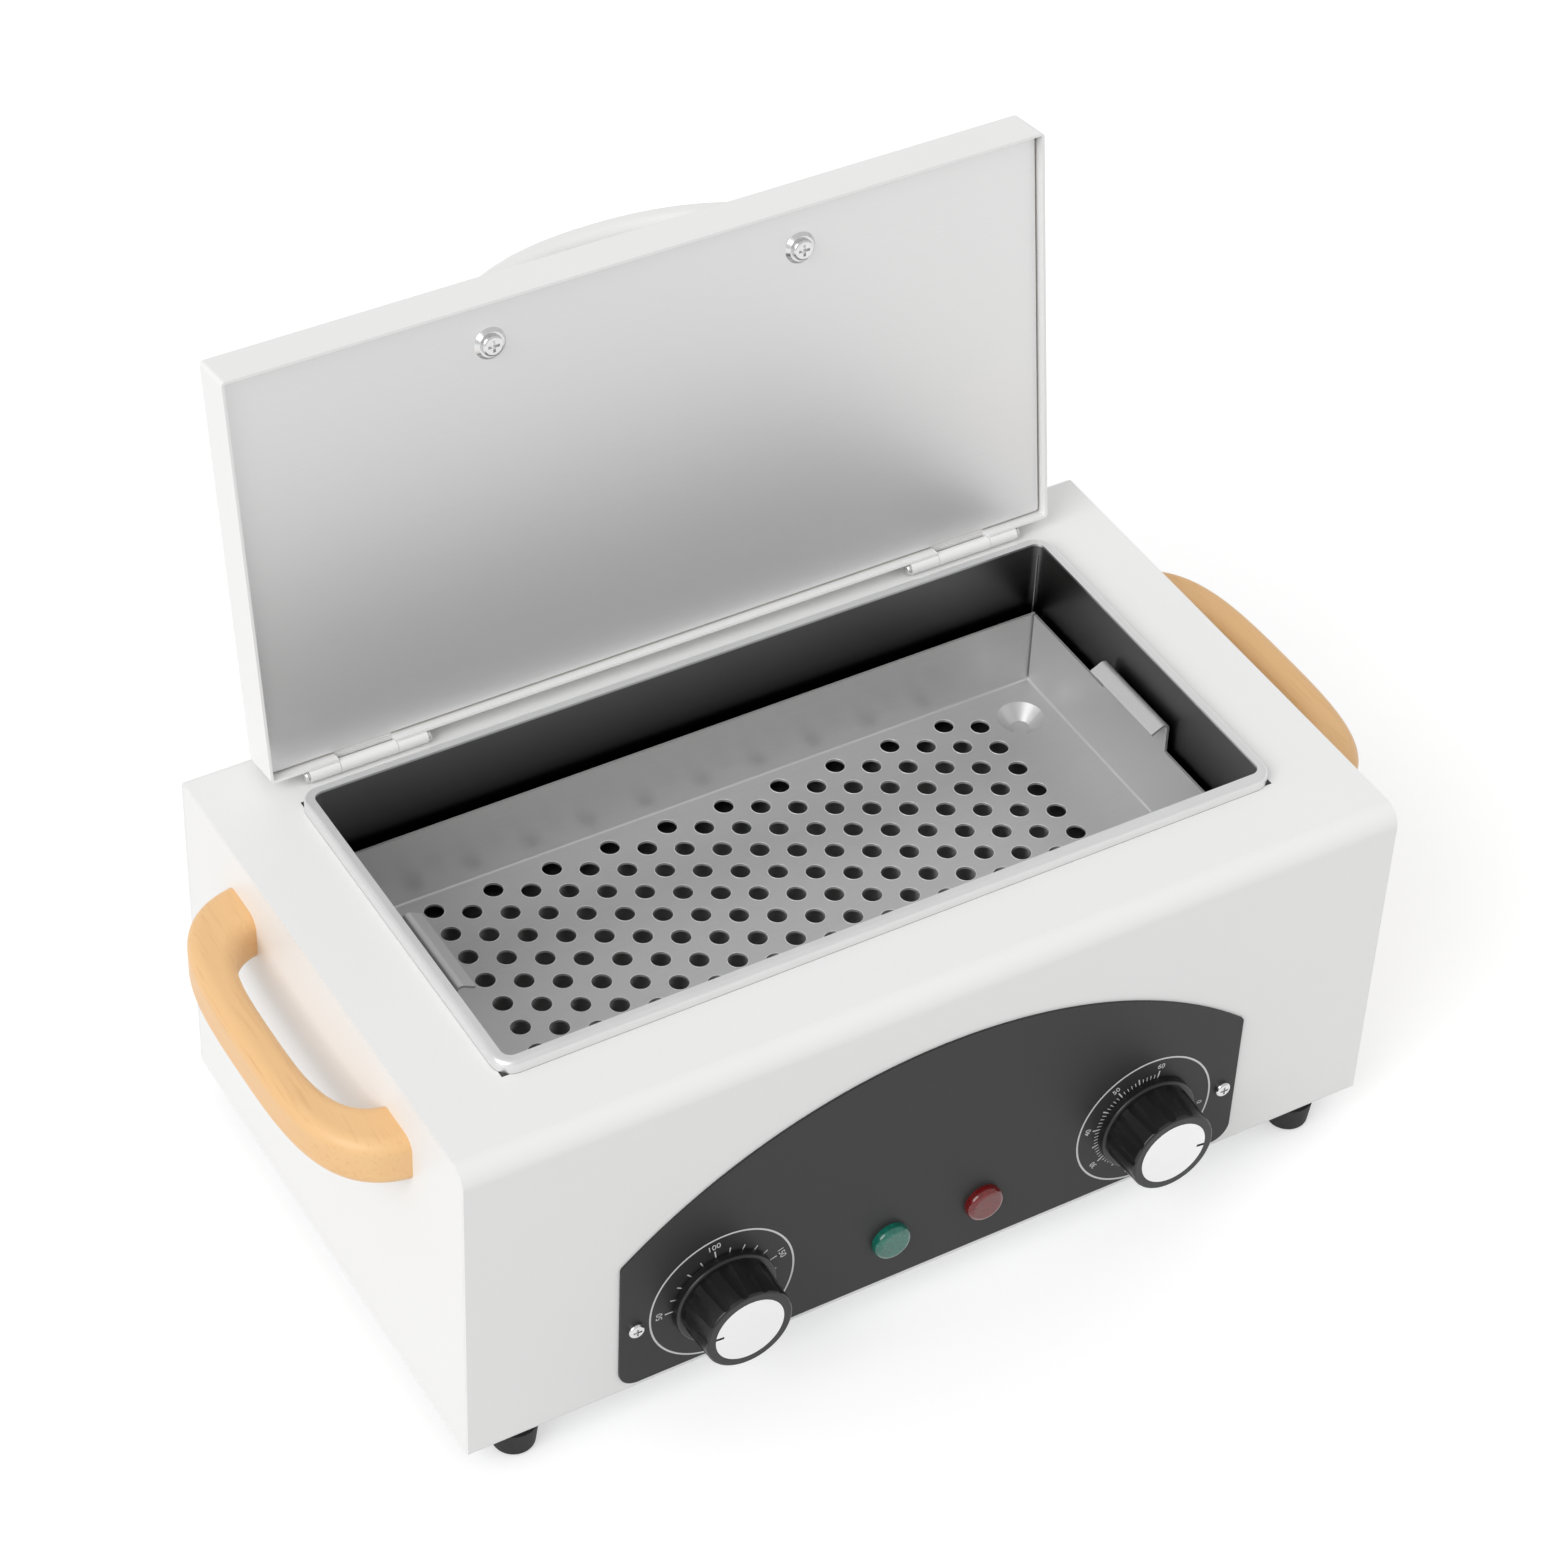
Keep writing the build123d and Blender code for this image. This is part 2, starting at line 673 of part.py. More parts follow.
def lid_sheet(low, thickness, screw_hole):
    """Plate that lies inside the lid, from a height above the mouth, with two screw holes."""
    with BuildPart() as plate:
        with BuildSketch(lid_plane.offset(low)):
            with Locations((0, lid_middle)):
                RectangleRounded(liner_length, liner_width, 1)
            with Locations((0, lid_screw_y)):
                with GridLocations(lid_handle_foot_spacing, 1, 2, 1):
                    Circle(screw_hole, mode=Mode.SUBTRACT)
        extrude(amount=thickness)
    return plate


save(lid_sheet(liner_face, liner_thickness, handle_screw_radius + handle_screw_clearance), "lid_liner")
lid_wool = lid_skin - sheet - liner_back - 2 * seam_gap
save(lid_sheet(liner_back + seam_gap, lid_wool, 2 * handle_screw_radius), "lid_insulation")

# Lid handle: the same bow in white, on the outside of the lid
lid_handle_plane = Plane(
    origin=lid_plane.from_local_coords(Vector(0, lid_screw_y, lid_skin)),
    x_dir=(1, 0, 0),
    z_dir=lid_plane.z_dir,
)
lid_handle = bow_handle(
    lid_handle_plane,
    lid_handle_foot_spacing,
    lid_handle_foot_width,
    lid_handle_reach,
    lid_handle_thickness,
    lid_handle_height,
    lid_handle_shoulder,
)
save(lid_handle, "lid_handle")

# Lid screws run from the liner through the lid into the handle, over dished washers
washer_height = 1.0
lid_screw_length = washer_height + lid_skin - liner_face + handle_screw_bite
lid_screw = pan_screw(handle_screw_radius, 3.3, 1.4, lid_screw_length)
with BuildPart() as cup_washer:
    Cone(4.9, 3.9, washer_height, align=(Align.CENTER, Align.CENTER, Align.MIN))
    with Locations((0, 0, washer_height)):
        Hole(handle_screw_radius + handle_screw_clearance, depth=washer_height)
with BuildPart() as lid_screws:
    for screw_x in (-lid_handle_foot_spacing / 2, lid_handle_foot_spacing / 2):
        face = Plane(
            lid_plane.from_local_coords(Vector(screw_x, lid_screw_y, liner_face - washer_height)),
            x_dir=(1, 0, 0),
            z_dir=-lid_plane.z_dir,
        )
        with Locations(face):
            add(lid_screw)
save(lid_screws, "lid_screws")
with BuildPart() as lid_washers:
    for screw_x in (-lid_handle_foot_spacing / 2, lid_handle_foot_spacing / 2):
        face = Plane(
            lid_plane.from_local_coords(Vector(screw_x, lid_screw_y, liner_face)),
            x_dir=(1, 0, 0),
            z_dir=-lid_plane.z_dir,
        )
        with Locations(face):
            add(cup_washer.part)
save(lid_washers, "lid_washers")

# Hinges: the base leaf lies flat behind its knuckle, and the lid leaf lands on it at full
# opening, which is the stop that holds the lid
stop_gap = 0.05
leaf_reach = (
    hinge_rise
    + (lid_wall_offset - hinge_leaf_thickness) * open_sine
    - hinge_leaf_thickness
    - stop_gap
) / -open_cosine
leaf_length = middle_knuckle + 2 * (outer_knuckle + knuckle_end_gap)
knuckle_bore = hinge_pin_radius + running_clearance
for name, hinge_x in (("left", -hinge_spacing / 2), ("right", hinge_spacing / 2)):
    knuckle_plane = Plane.YZ.offset(hinge_x)
    with BuildPart() as base_leaf:
        with BuildSketch(knuckle_plane.offset(-middle_knuckle / 2)):
            with Locations((hinge_y, hinge_height)):
                Circle(knuckle_radius)
            with Locations((hinge_y, housing_top)):
                Rectangle(
                    hinge_base_leaf_width, hinge_leaf_thickness, align=(Align.MIN, Align.MIN)
                )
            with Locations((hinge_y, hinge_height)):
                Circle(knuckle_bore, mode=Mode.SUBTRACT)
        extrude(amount=middle_knuckle)
        with BuildSketch(Plane.XY.offset(housing_top)):
            with Locations((hinge_x, hinge_y + knuckle_radius + 0.5)):
                Rectangle(
                    leaf_length,
                    hinge_base_leaf_width - knuckle_radius - 0.5,
                    align=(Align.CENTER, Align.MIN),
                )
        extrude(amount=hinge_leaf_thickness)
    save(base_leaf, f"{name}_hinge_base_leaf")

    section = lid_section.offset(hinge_x)
    with BuildPart() as lid_leaf:
        with BuildSketch(section.offset(-leaf_length / 2)):
            Circle(knuckle_radius)
            with Locations((-lid_wall_offset, 0)):
                Rectangle(hinge_leaf_thickness, leaf_reach, align=(Align.MIN, Align.MIN))
            Circle(knuckle_bore, mode=Mode.SUBTRACT)
        extrude(amount=leaf_length)
        with BuildSketch(section.offset(-middle_knuckle / 2 - knuckle_end_gap)):
            Rectangle(3 * knuckle_radius, 2 * (knuckle_radius + 0.5))
        extrude(amount=middle_knuckle + 2 * knuckle_end_gap, mode=Mode.SUBTRACT)
    save(lid_leaf, f"{name}_hinge_lid_leaf")

    head_seat = leaf_length / 2 + knuckle_end_gap
    head_radius = knuckle_radius - 0.2
    with BuildPart() as hinge_pin:
        with Locations(Location((hinge_x, hinge_y, hinge_height), (0, 90, 0))):
            Cylinder(head_radius, 2 * (head_seat + pin_head_length))
            fillet(hinge_pin.edges().filter_by(GeomType.CIRCLE), radius=pin_head_length * 0.8)
            with BuildSketch(Plane.YZ.offset(hinge_x - head_seat)):
                with Locations((hinge_y, hinge_height)):
                    Circle(head_radius + 1)
                    Circle(hinge_pin_radius, mode=Mode.SUBTRACT)
            extrude(amount=2 * head_seat, mode=Mode.SUBTRACT)
    save(hinge_pin, f"{name}_hinge_pin")

# Control panel: dark plate whose top edge is one long arch
panel_base = housing_bottom + panel_rise
with BuildPart() as control_panel:
    with BuildSketch(Plane.XZ.offset(front_face)) as panel_outline:
        with BuildLine():
            Polyline(
                (-panel_half_width, panel_base + panel_shoulder),
                (-panel_half_width, panel_base),
                (panel_half_width, panel_base),
                (panel_half_width, panel_base + panel_shoulder),
            )
            ThreePointArc(
                (panel_half_width, panel_base + panel_shoulder),
                (0, panel_base + panel_shoulder + panel_arch),
                (-panel_half_width, panel_base + panel_shoulder),
            )
        make_face()
        fillet(panel_outline.vertices().group_by(Axis.Y)[0], radius=panel_foot_radius)
        fillet(panel_outline.vertices().group_by(Axis.Y)[-1], radius=panel_shoulder_radius)
        with Locations((-dial_spacing / 2, dial_height), (dial_spacing / 2, dial_height)):
            Circle(switch_neck_radius + switch_neck_clearance, mode=Mode.SUBTRACT)
        with Locations((-lamp_spacing / 2, lamp_height), (lamp_spacing / 2, lamp_height)):
            Circle(lamp_holder_radius + switch_neck_clearance, mode=Mode.SUBTRACT)
        with Locations((0, housing_bottom + panel_screw_rise)):
            with GridLocations(panel_screw_spacing, 1, 2, 1):
                Circle(1.4 + seam_gap, mode=Mode.SUBTRACT)
    extrude(amount=panel_thickness)
save(control_panel, "control_panel")

panel_screw = pan_screw(1.4, 2.5, 1.5, panel_thickness + sheet + 5)
with BuildPart() as panel_screws:
    for screw_x in (-panel_screw_spacing / 2, panel_screw_spacing / 2):
        seat = (screw_x, -panel_face, housing_bottom + panel_screw_rise)
        with Locations(Location(seat, (90, 0, 0))):
            add(panel_screw)
save(panel_screws, "panel_screws")

# Pilot lamps: domed lens with a plug in a holder that passes through the panel
for name, lamp_x in (("green", -lamp_spacing / 2), ("red", lamp_spacing / 2)):
    lamp_plane = Plane((lamp_x, -panel_face, lamp_height), x_dir=(1, 0, 0), z_dir=(0, -1, 0))
    with BuildPart() as lens:
        with Locations(lamp_plane):
            Cylinder(lens_radius, lens_proud, align=(Align.CENTER, Align.CENTER, Align.MIN))
        rim_edges = lens.faces().sort_by(Axis.Y)[0].edges()
        fillet(rim_edges, radius=lens_proud - lens_flange)
        with Locations(lamp_plane):
            Cylinder(
                lens_plug_radius, lens_plug_length, align=(Align.CENTER, Align.CENTER, Align.MAX)
            )
    save(lens, f"{name}_lamp_lens")
    with BuildPart() as holder:
        with Locations(lamp_plane):
            Cylinder(
                lamp_holder_radius, lamp_holder_length, align=(Align.CENTER, Align.CENTER, Align.MAX)
            )
        with Locations(lamp_plane.offset(-panel_thickness - sheet)):
            Cylinder(
                lamp_holder_radius + 1.7, 2, align=(Align.CENTER, Align.CENTER, Align.MAX)
            )
        with Locations(lamp_plane):
            Cylinder(
                lens_plug_radius + seam_gap,
                lens_plug_length + 1,
                align=(Align.CENTER, Align.CENTER, Align.MAX),
                mode=Mode.SUBTRACT,
            )
    save(holder, f"{name}_lamp_holder")


def spindle_profile(radius):
    """Round shaft section with one flat, seen from the front."""
    Circle(radius)
    with Locations((0, -radius)):
        Rectangle(2 * radius, 2 * spindle_flat, mode=Mode.SUBTRACT)


def switch_set(name, dial_x, body_width, rest_angle):
    """One dial's pieces: switch body with neck, spindle, knob and silver cap."""
    front = panel_face
    neck_end = front + 2.6
    knob_back = front + knob_panel_gap
    knob_front = knob_back + knob_height
    dial = Plane((dial_x, 0, dial_height), x_dir=(1, 0, 0), z_dir=(0, -1, 0))
    turned = (cos(radians(rest_angle)), 0, sin(radians(rest_angle)))
    pointer = Plane(dial.origin, x_dir=turned, z_dir=dial.z_dir)
    with BuildPart() as body:
        with BuildSketch(dial.offset(front_face - sheet)):
            RectangleRounded(body_width, switch_height, 2)
        extrude(amount=-switch_depth)
        with BuildSketch(dial.offset(front_face - sheet)):
            Circle(switch_neck_radius)
        extrude(amount=neck_end - front_face + sheet)
        with BuildSketch(dial.offset(neck_end)):
            Circle(spindle_radius + running_clearance)
        extrude(amount=-(neck_end - front_face + sheet + 8), mode=Mode.SUBTRACT)
    save(body, f"{name}_body")
    with BuildPart() as nut:
        with Locations(dial.offset(front)):
            add(hex_nut(switch_neck_radius + seam_gap, 13, 2))
    save(nut, f"{name}_nut")
    with BuildPart() as spindle:
        with BuildSketch(dial.offset(front_face - sheet - 7)):
            Circle(spindle_radius)
        extrude(amount=knob_front - cap_thickness - 1.5 - spindle_bite - front_face + sheet + 7)
        with BuildSketch(pointer.offset(knob_front - cap_thickness - 1.5 - spindle_bite)):
            spindle_profile(spindle_radius)
        extrude(amount=spindle_bite)
    save(spindle, f"{name}_spindle")
    with BuildPart() as knob:
        with BuildSketch(dial.offset(knob_back)):
            Circle(knob_skirt_radius)
        extrude(amount=knob_skirt_thickness)
        fillet(knob.faces().sort_by(Axis.Y)[0].edges(), radius=0.8)
        with BuildSketch(dial.offset(knob_back + knob_skirt_thickness)):
            Circle(knob_grip_radius)
        with BuildSketch(dial.offset(knob_front)):
            Circle(knob_grip_top_radius)
        loft()
        fillet(knob.faces().sort_by(Axis.Y)[0].edges(), radius=0.8)
        # Finger flutes round the grip
        with BuildSketch(pointer.offset(knob_back + knob_skirt_thickness)):
            with PolarLocations(knob_grip_radius + knob_flute_radius - knob_flute_depth, knob_flutes):
                Circle(knob_flute_radius)
        extrude(amount=knob_height, mode=Mode.SUBTRACT)
        # Seat of the cap, room for the nut, and the bore with its flat
        with BuildSketch(dial.offset(knob_front)):
            Circle(cap_radius + running_clearance)
        extrude(amount=-cap_thickness, mode=Mode.SUBTRACT)
        with BuildSketch(dial.offset(knob_back)):
            Circle(knob_nut_recess_radius)
        extrude(amount=knob_nut_recess_depth, mode=Mode.SUBTRACT)
        with BuildSketch(dial.offset(knob_back)):
            Circle(spindle_radius + running_clearance)
        extrude(amount=knob_front - cap_thickness - 1.5 - spindle_bite - knob_back, mode=Mode.SUBTRACT)
        with BuildSketch(pointer.offset(knob_front - cap_thickness - 1.5 - spindle_bite)):
            spindle_profile(spindle_radius + running_clearance)
        extrude(amount=spindle_bite, mode=Mode.SUBTRACT)
    save(knob, f"{name}_knob")
    with BuildPart() as cap:
        with BuildSketch(pointer.offset(knob_front)):
            Circle(cap_radius)
            with Locations((cap_radius, 0)):
                Rectangle(2 * cap_notch_length, cap_notch_width, mode=Mode.SUBTRACT)
        extrude(amount=-cap_thickness)
    save(cap, f"{name}_knob_cap")


switch_set("thermostat", -dial_spacing / 2, thermostat_body_width, thermostat_rest_angle)
switch_set("timer", dial_spacing / 2, timer_body_width, timer_rest_angle)

# Sensing bulb under the tank, its tube bent down to the thermostat
tube_start = dial_height + switch_height / 2
bulb_row = chamber_centre_y - element_pitch
tube_y = -(front_face - sheet - switch_depth / 2)
with BuildPart() as sensing_bulb:
    with BuildLine() as tube_route:
        FilletPolyline(
            (capillary_x, tube_y, tube_start),
            (capillary_x, tube_y, capillary_height),
            (capillary_x, bulb_row, capillary_height),
            (capillary_x + 18, bulb_row, capillary_height),
            radius=5,
        )
    with BuildSketch(Plane(origin=tube_route.line @ 0, z_dir=tube_route.line % 0)):
        Circle(capillary_radius)
    sweep()
    with BuildSketch(Plane.YZ.offset(capillary_x + 18)):
        with Locations((bulb_row, capillary_height)):
            Circle(bulb_radius)
    extrude(amount=bulb_length)
save(sensing_bulb, "sensing_bulb")

# Cord gland: flanged bush in the back, bore left open
gland_height = housing_bottom + gland_rise
with BuildPart() as cord_gland:
    with BuildSketch(Plane.XZ.offset(-back_face)):
        with Locations((gland_x, gland_height)):
            Circle(gland_flange_radius)
    extrude(amount=-3)
    fillet(cord_gland.faces().sort_by(Axis.Y)[-1].edges(), radius=1)
    with BuildSketch(Plane.XZ.offset(-back_face)):
        with Locations((gland_x, gland_height)):
            Circle(gland_neck_radius)
    extrude(amount=9)
    with BuildSketch(Plane.XZ.offset(-back_face + 9)):
        with Locations((gland_x, gland_height)):
            Circle(gland_bore_radius)
    extrude(amount=-12, mode=Mode.SUBTRACT)
save(cord_gland, "cord_gland")

# Terminal block on the base plate
terminal_place = (115, 50)
with BuildPart() as terminal_block:
    with BuildSketch(Plane.XY.offset(housing_bottom + seam_gap)):
        with Locations(terminal_place):
            RectangleRounded(34, 16, 1)
    extrude(amount=14)
    with BuildSketch(Plane.XY.offset(housing_bottom + seam_gap + 14)):
        with Locations(terminal_place):
            with GridLocations(10, 8, 3, 2):
                Circle(2)
    extrude(amount=-6, mode=Mode.SUBTRACT)
save(terminal_block, "terminal_block")
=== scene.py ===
# %% [markdown]
# This scene dresses a desk-top dry heat sterilizer: a white sheet-metal case with a heated
# chamber, a perforated tray, a hinged lid, beech handles and a dark panel with two dials.

# %% Load the frame
import math
import bpy
from mathutils import Matrix, Vector


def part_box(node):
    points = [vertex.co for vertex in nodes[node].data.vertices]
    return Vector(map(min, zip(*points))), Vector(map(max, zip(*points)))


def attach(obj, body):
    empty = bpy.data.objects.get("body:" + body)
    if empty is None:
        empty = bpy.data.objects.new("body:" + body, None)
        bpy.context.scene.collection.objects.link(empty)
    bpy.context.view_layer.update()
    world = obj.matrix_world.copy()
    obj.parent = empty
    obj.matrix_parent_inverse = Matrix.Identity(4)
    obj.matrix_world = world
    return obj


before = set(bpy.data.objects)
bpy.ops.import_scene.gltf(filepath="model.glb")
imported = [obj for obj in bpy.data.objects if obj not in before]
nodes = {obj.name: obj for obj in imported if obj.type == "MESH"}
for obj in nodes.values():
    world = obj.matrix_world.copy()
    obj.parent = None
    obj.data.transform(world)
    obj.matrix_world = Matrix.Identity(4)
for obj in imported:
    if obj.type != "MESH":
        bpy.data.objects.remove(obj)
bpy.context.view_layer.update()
MM = 0.001

# %% [markdown]
# Every size below comes from the solids. Reading a box once and giving it a plain name keeps
# the later cells short, and a piece stays seated when the solids change.

# %% Sizes read from the solids
tank_low, tank_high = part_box("chamber")
tray_low, tray_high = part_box("tray")
case_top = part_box("housing_shell")[1].z
panel_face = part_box("control_panel")[0].y
thermostat_middle = sum(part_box("thermostat_knob"), Vector()) / 2
timer_middle = sum(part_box("timer_knob"), Vector()) / 2
print("case top", round(case_top, 4), "panel face", round(panel_face, 4))
print("dials at", tuple(thermostat_middle), tuple(timer_middle))

# %% [markdown]
# The camera stands where the photographer's stood: to the left of the front and well above,
# with a long lens. Its place was found by fitting the case's corners, so the matrix is built
# from three angles and a point instead of by eye.

# %% Camera
CAMERA_PLACE = Vector((-0.50479, -0.80266, 0.97714))
CAMERA_AZIMUTH = -32.013
CAMERA_ELEVATION = 41.868
CAMERA_ROLL = 2.711
FOCAL_PIXELS = 4482.1
PHOTO_PIXELS = 1568
SENSOR_WIDTH = 36.0


def photo_camera():
    """Camera object at the photographer's place, turned by the three fitted angles."""
    azimuth = math.radians(CAMERA_AZIMUTH)
    elevation = math.radians(CAMERA_ELEVATION)
    roll = math.radians(CAMERA_ROLL)
    back = Vector((
        math.sin(azimuth) * math.cos(elevation),
        -math.cos(azimuth) * math.cos(elevation),
        math.sin(elevation),
    ))
    level_right = Vector((0, 0, 1)).cross(back).normalized()
    level_up = back.cross(level_right)
    right = level_right * math.cos(roll) + level_up * math.sin(roll)
    up = level_up * math.cos(roll) - level_right * math.sin(roll)
    turn = Matrix((right, up, back)).transposed().to_4x4()
    data = bpy.data.cameras.new("photo_camera")
    data.sensor_width = SENSOR_WIDTH
    data.lens = FOCAL_PIXELS / PHOTO_PIXELS * SENSOR_WIDTH
    data.clip_start = 0.05
    data.clip_end = 50
    camera = bpy.data.objects.new("photo_camera", data)
    bpy.context.scene.collection.objects.link(camera)
    camera.matrix_world = Matrix.Translation(CAMERA_PLACE) @ turn
    bpy.context.scene.camera = camera
    return camera


camera = photo_camera()
print("lens", round(camera.data.lens, 2), "mm")

# %% [markdown]
# A product photograph on white is mostly soft light from all round, with one broad lamp that
# makes the left side and the top a little brighter than the front. A plain world gives the
# first, and a wide sun gives the second.

# %% Light and view
scene = bpy.context.scene
scene.view_settings.view_transform = "Standard"
WORLD_LEVEL = 0.70
SUN_LEVEL = 1.30
SUN_FROM = Vector((-0.753, -0.27, 0.589))
SUN_SPREAD = 40

world = bpy.data.worlds.new("studio")
scene.world = world
world.use_nodes = True
world_nodes = world.node_tree.nodes
background = world_nodes["Background"]
background.inputs["Color"].default_value = (1, 1, 1, 1)
background.inputs["Strength"].default_value = WORLD_LEVEL

sun_data = bpy.data.lights.new("broad_lamp", "SUN")
sun_data.energy = SUN_LEVEL
sun_data.angle = math.radians(SUN_SPREAD)
sun = bpy.data.objects.new("broad_lamp", sun_data)
sun.rotation_euler = SUN_FROM.to_track_quat("Z", "Y").to_euler()
scene.collection.objects.link(sun)
print("sun from", tuple(round(value, 2) for value in SUN_FROM))

# %% [markdown]
# The floor is a wide pale sheet. It takes the object's soft shadow as any floor does, and a
# little glow that only the camera and mirrors see brings its colour up to the white of the
# backdrop without adding light to the object.

# %% Floor
FLOOR_HALF = 6.0
FLOOR_DROP = 0.2 * MM
FLOOR_GREY = 0.70
FLOOR_GLOW = 0.45


def deselect():
    """Nothing is selected, so the next operator acts only on what it makes."""
    if bpy.context.object and bpy.context.object.mode != "OBJECT":
        bpy.ops.object.mode_set(mode="OBJECT")
    bpy.ops.object.select_all(action="DESELECT")


def socket(shader, name, value):
    """Set one constant on a shader's own socket."""
    shader.inputs[name].default_value = value


deselect()
bpy.ops.mesh.primitive_plane_add(size=2 * FLOOR_HALF, location=(0, 0, -FLOOR_DROP))
floor = bpy.context.object
floor.name = "floor"
floor_paint = bpy.data.materials.new("floor_paint")
floor_paint.use_nodes = True
tree = floor_paint.node_tree
shader = tree.nodes["Principled BSDF"]
socket(shader, "Base Color", (FLOOR_GREY, FLOOR_GREY, FLOOR_GREY, 1))
socket(shader, "Roughness", 0.9)
socket(shader, "Specular IOR Level", 0.0)
path = tree.nodes.new("ShaderNodeLightPath")
seen = tree.nodes.new("ShaderNodeMath")
seen.operation = "MAXIMUM"
tree.links.new(path.outputs["Is Camera Ray"], seen.inputs[0])
tree.links.new(path.outputs["Is Glossy Ray"], seen.inputs[1])
level = tree.nodes.new("ShaderNodeMath")
level.operation = "MULTIPLY"
level.inputs[1].default_value = FLOOR_GLOW
tree.links.new(seen.outputs[0], level.inputs[0])
socket(shader, "Emission Color", (1, 1, 1, 1))
tree.links.new(level.outputs[0], shader.inputs["Emission Strength"])
floor.data.materials.append(floor_paint)
print("floor", floor.dimensions[:2])

# %% [markdown]
# Two effects turn up in more than one finish: the faint orange peel of paint and moulded
# plastic, with slow patches that keep a large surface from looking dead, and the fine lines
# of brushed sheet. Each is a node group, built once and given its own values.

# %% Shared effects
def new_group(name, inputs, outputs):
    """Empty shader group with named sockets. Inputs and outputs are (name, type, value)."""
    group = bpy.data.node_groups.new(name, "ShaderNodeTree")
    for label, kind, value in inputs:
        made = group.interface.new_socket(label, in_out="INPUT", socket_type=kind)
        if value is not None:
            made.default_value = value
    for label, kind in outputs:
        group.interface.new_socket(label, in_out="OUTPUT", socket_type=kind)
    start = group.nodes.new("NodeGroupInput")
    end = group.nodes.new("NodeGroupOutput")
    return group, start, end


def math_node(tree, operation, *values):
    """Math node over sockets or numbers."""
    node = tree.nodes.new("ShaderNodeMath")
    node.operation = operation
    for slot_index, value in enumerate(values):
        if hasattr(value, "is_linked"):
            tree.links.new(value, node.inputs[slot_index])
        else:
            node.inputs[slot_index].default_value = value
    return node.outputs[0]


def mix_colour(tree, factor, first, second, blend="MIX"):
    """Colour mix of two sockets or colours, in one of Blender's blend types."""
    node = tree.nodes.new("ShaderNodeMix")
    node.data_type = "RGBA"
    node.blend_type = blend
    for name, value in (("Factor", factor), ("A", first), ("B", second)):
        target = [item for item in node.inputs if item.name == name and item.enabled][0]
        if hasattr(value, "is_linked"):
            tree.links.new(value, target)
        else:
            target.default_value = value
    return [item for item in node.outputs if item.enabled][0]


def build_peel():
    """Orange peel: soft bumps of one size, with a slow change of gloss."""
    group, start, end = new_group(
        "orange_peel",
        [
            ("Vector", "NodeSocketVector", None),
            ("Size", "NodeSocketFloat", 900.0),
            ("Depth", "NodeSocketFloat", 0.05),
            ("Roughness", "NodeSocketFloat", 0.4),
        ],
        [
            ("Normal", "NodeSocketVector"),
            ("Roughness", "NodeSocketFloat"),
            ("Patches", "NodeSocketFloat"),
        ],
    )
    bumps = group.nodes.new("ShaderNodeTexNoise")
    bumps.inputs["Detail"].default_value = 1.0
    group.links.new(start.outputs["Vector"], bumps.inputs["Vector"])
    group.links.new(start.outputs["Size"], bumps.inputs["Scale"])
    bump = group.nodes.new("ShaderNodeBump")
    bump.inputs["Distance"].default_value = 0.0002
    group.links.new(start.outputs["Depth"], bump.inputs["Strength"])
    group.links.new(bumps.outputs[0], bump.inputs["Height"])
    patches = group.nodes.new("ShaderNodeTexNoise")
    patches.inputs["Scale"].default_value = 14.0
    patches.inputs["Detail"].default_value = 3.0
    group.links.new(start.outputs["Vector"], patches.inputs["Vector"])
    centred = math_node(group, "SUBTRACT", patches.outputs[0], 0.5)
    swing = math_node(group, "MULTIPLY", centred, 0.12)
    rough = math_node(group, "ADD", start.outputs["Roughness"], swing)
    group.links.new(bump.outputs["Normal"], end.inputs["Normal"])
    group.links.new(rough, end.inputs["Roughness"])
    group.links.new(patches.outputs[0], end.inputs["Patches"])
    return group


def build_brushed():
    """Brushed sheet: noise stretched along one direction, as lines in gloss and height."""
    group, start, end = new_group(
        "brushed_lines",
        [
            ("Vector", "NodeSocketVector", None),
            ("Stretch", "NodeSocketVector", (1.0, 1.0, 1.0)),
            ("Size", "NodeSocketFloat", 400.0),
            ("Depth", "NodeSocketFloat", 0.05),
            ("Roughness", "NodeSocketFloat", 0.3),
            ("Contrast", "NodeSocketFloat", 0.15),
        ],
        [
            ("Normal", "NodeSocketVector"),
            ("Roughness", "NodeSocketFloat"),
            ("Lines", "NodeSocketFloat"),
        ],
    )
    scaled = group.nodes.new("ShaderNodeVectorMath")
    scaled.operation = "MULTIPLY"
    group.links.new(start.outputs["Vector"], scaled.inputs[0])
    group.links.new(start.outputs["Stretch"], scaled.inputs[1])
    lines = group.nodes.new("ShaderNodeTexNoise")
    lines.inputs["Detail"].default_value = 2.0
    group.links.new(scaled.outputs[0], lines.inputs["Vector"])
    group.links.new(start.outputs["Size"], lines.inputs["Scale"])
    bump = group.nodes.new("ShaderNodeBump")
    bump.inputs["Distance"].default_value = 0.0001
    group.links.new(start.outputs["Depth"], bump.inputs["Strength"])
    group.links.new(lines.outputs[0], bump.inputs["Height"])
    centred = math_node(group, "SUBTRACT", lines.outputs[0], 0.5)
    swing = math_node(group, "MULTIPLY", centred, start.outputs["Contrast"])
    rough = math_node(group, "ADD", start.outputs["Roughness"], swing)
    group.links.new(bump.outputs["Normal"], end.inputs["Normal"])
    group.links.new(rough, end.inputs["Roughness"])
    group.links.new(lines.outputs[0], end.inputs["Lines"])
    return group


peel_group = build_peel()
brushed_group = build_brushed()
print("groups", [group.name for group in bpy.data.node_groups])

# %% [markdown]
# A finish is one Principled shader with its constants on its own sockets, and one of the
# shared groups for what changes over the surface. Patterns read Object coordinates, which
# are real metres here, because every piece's object sits at the origin.

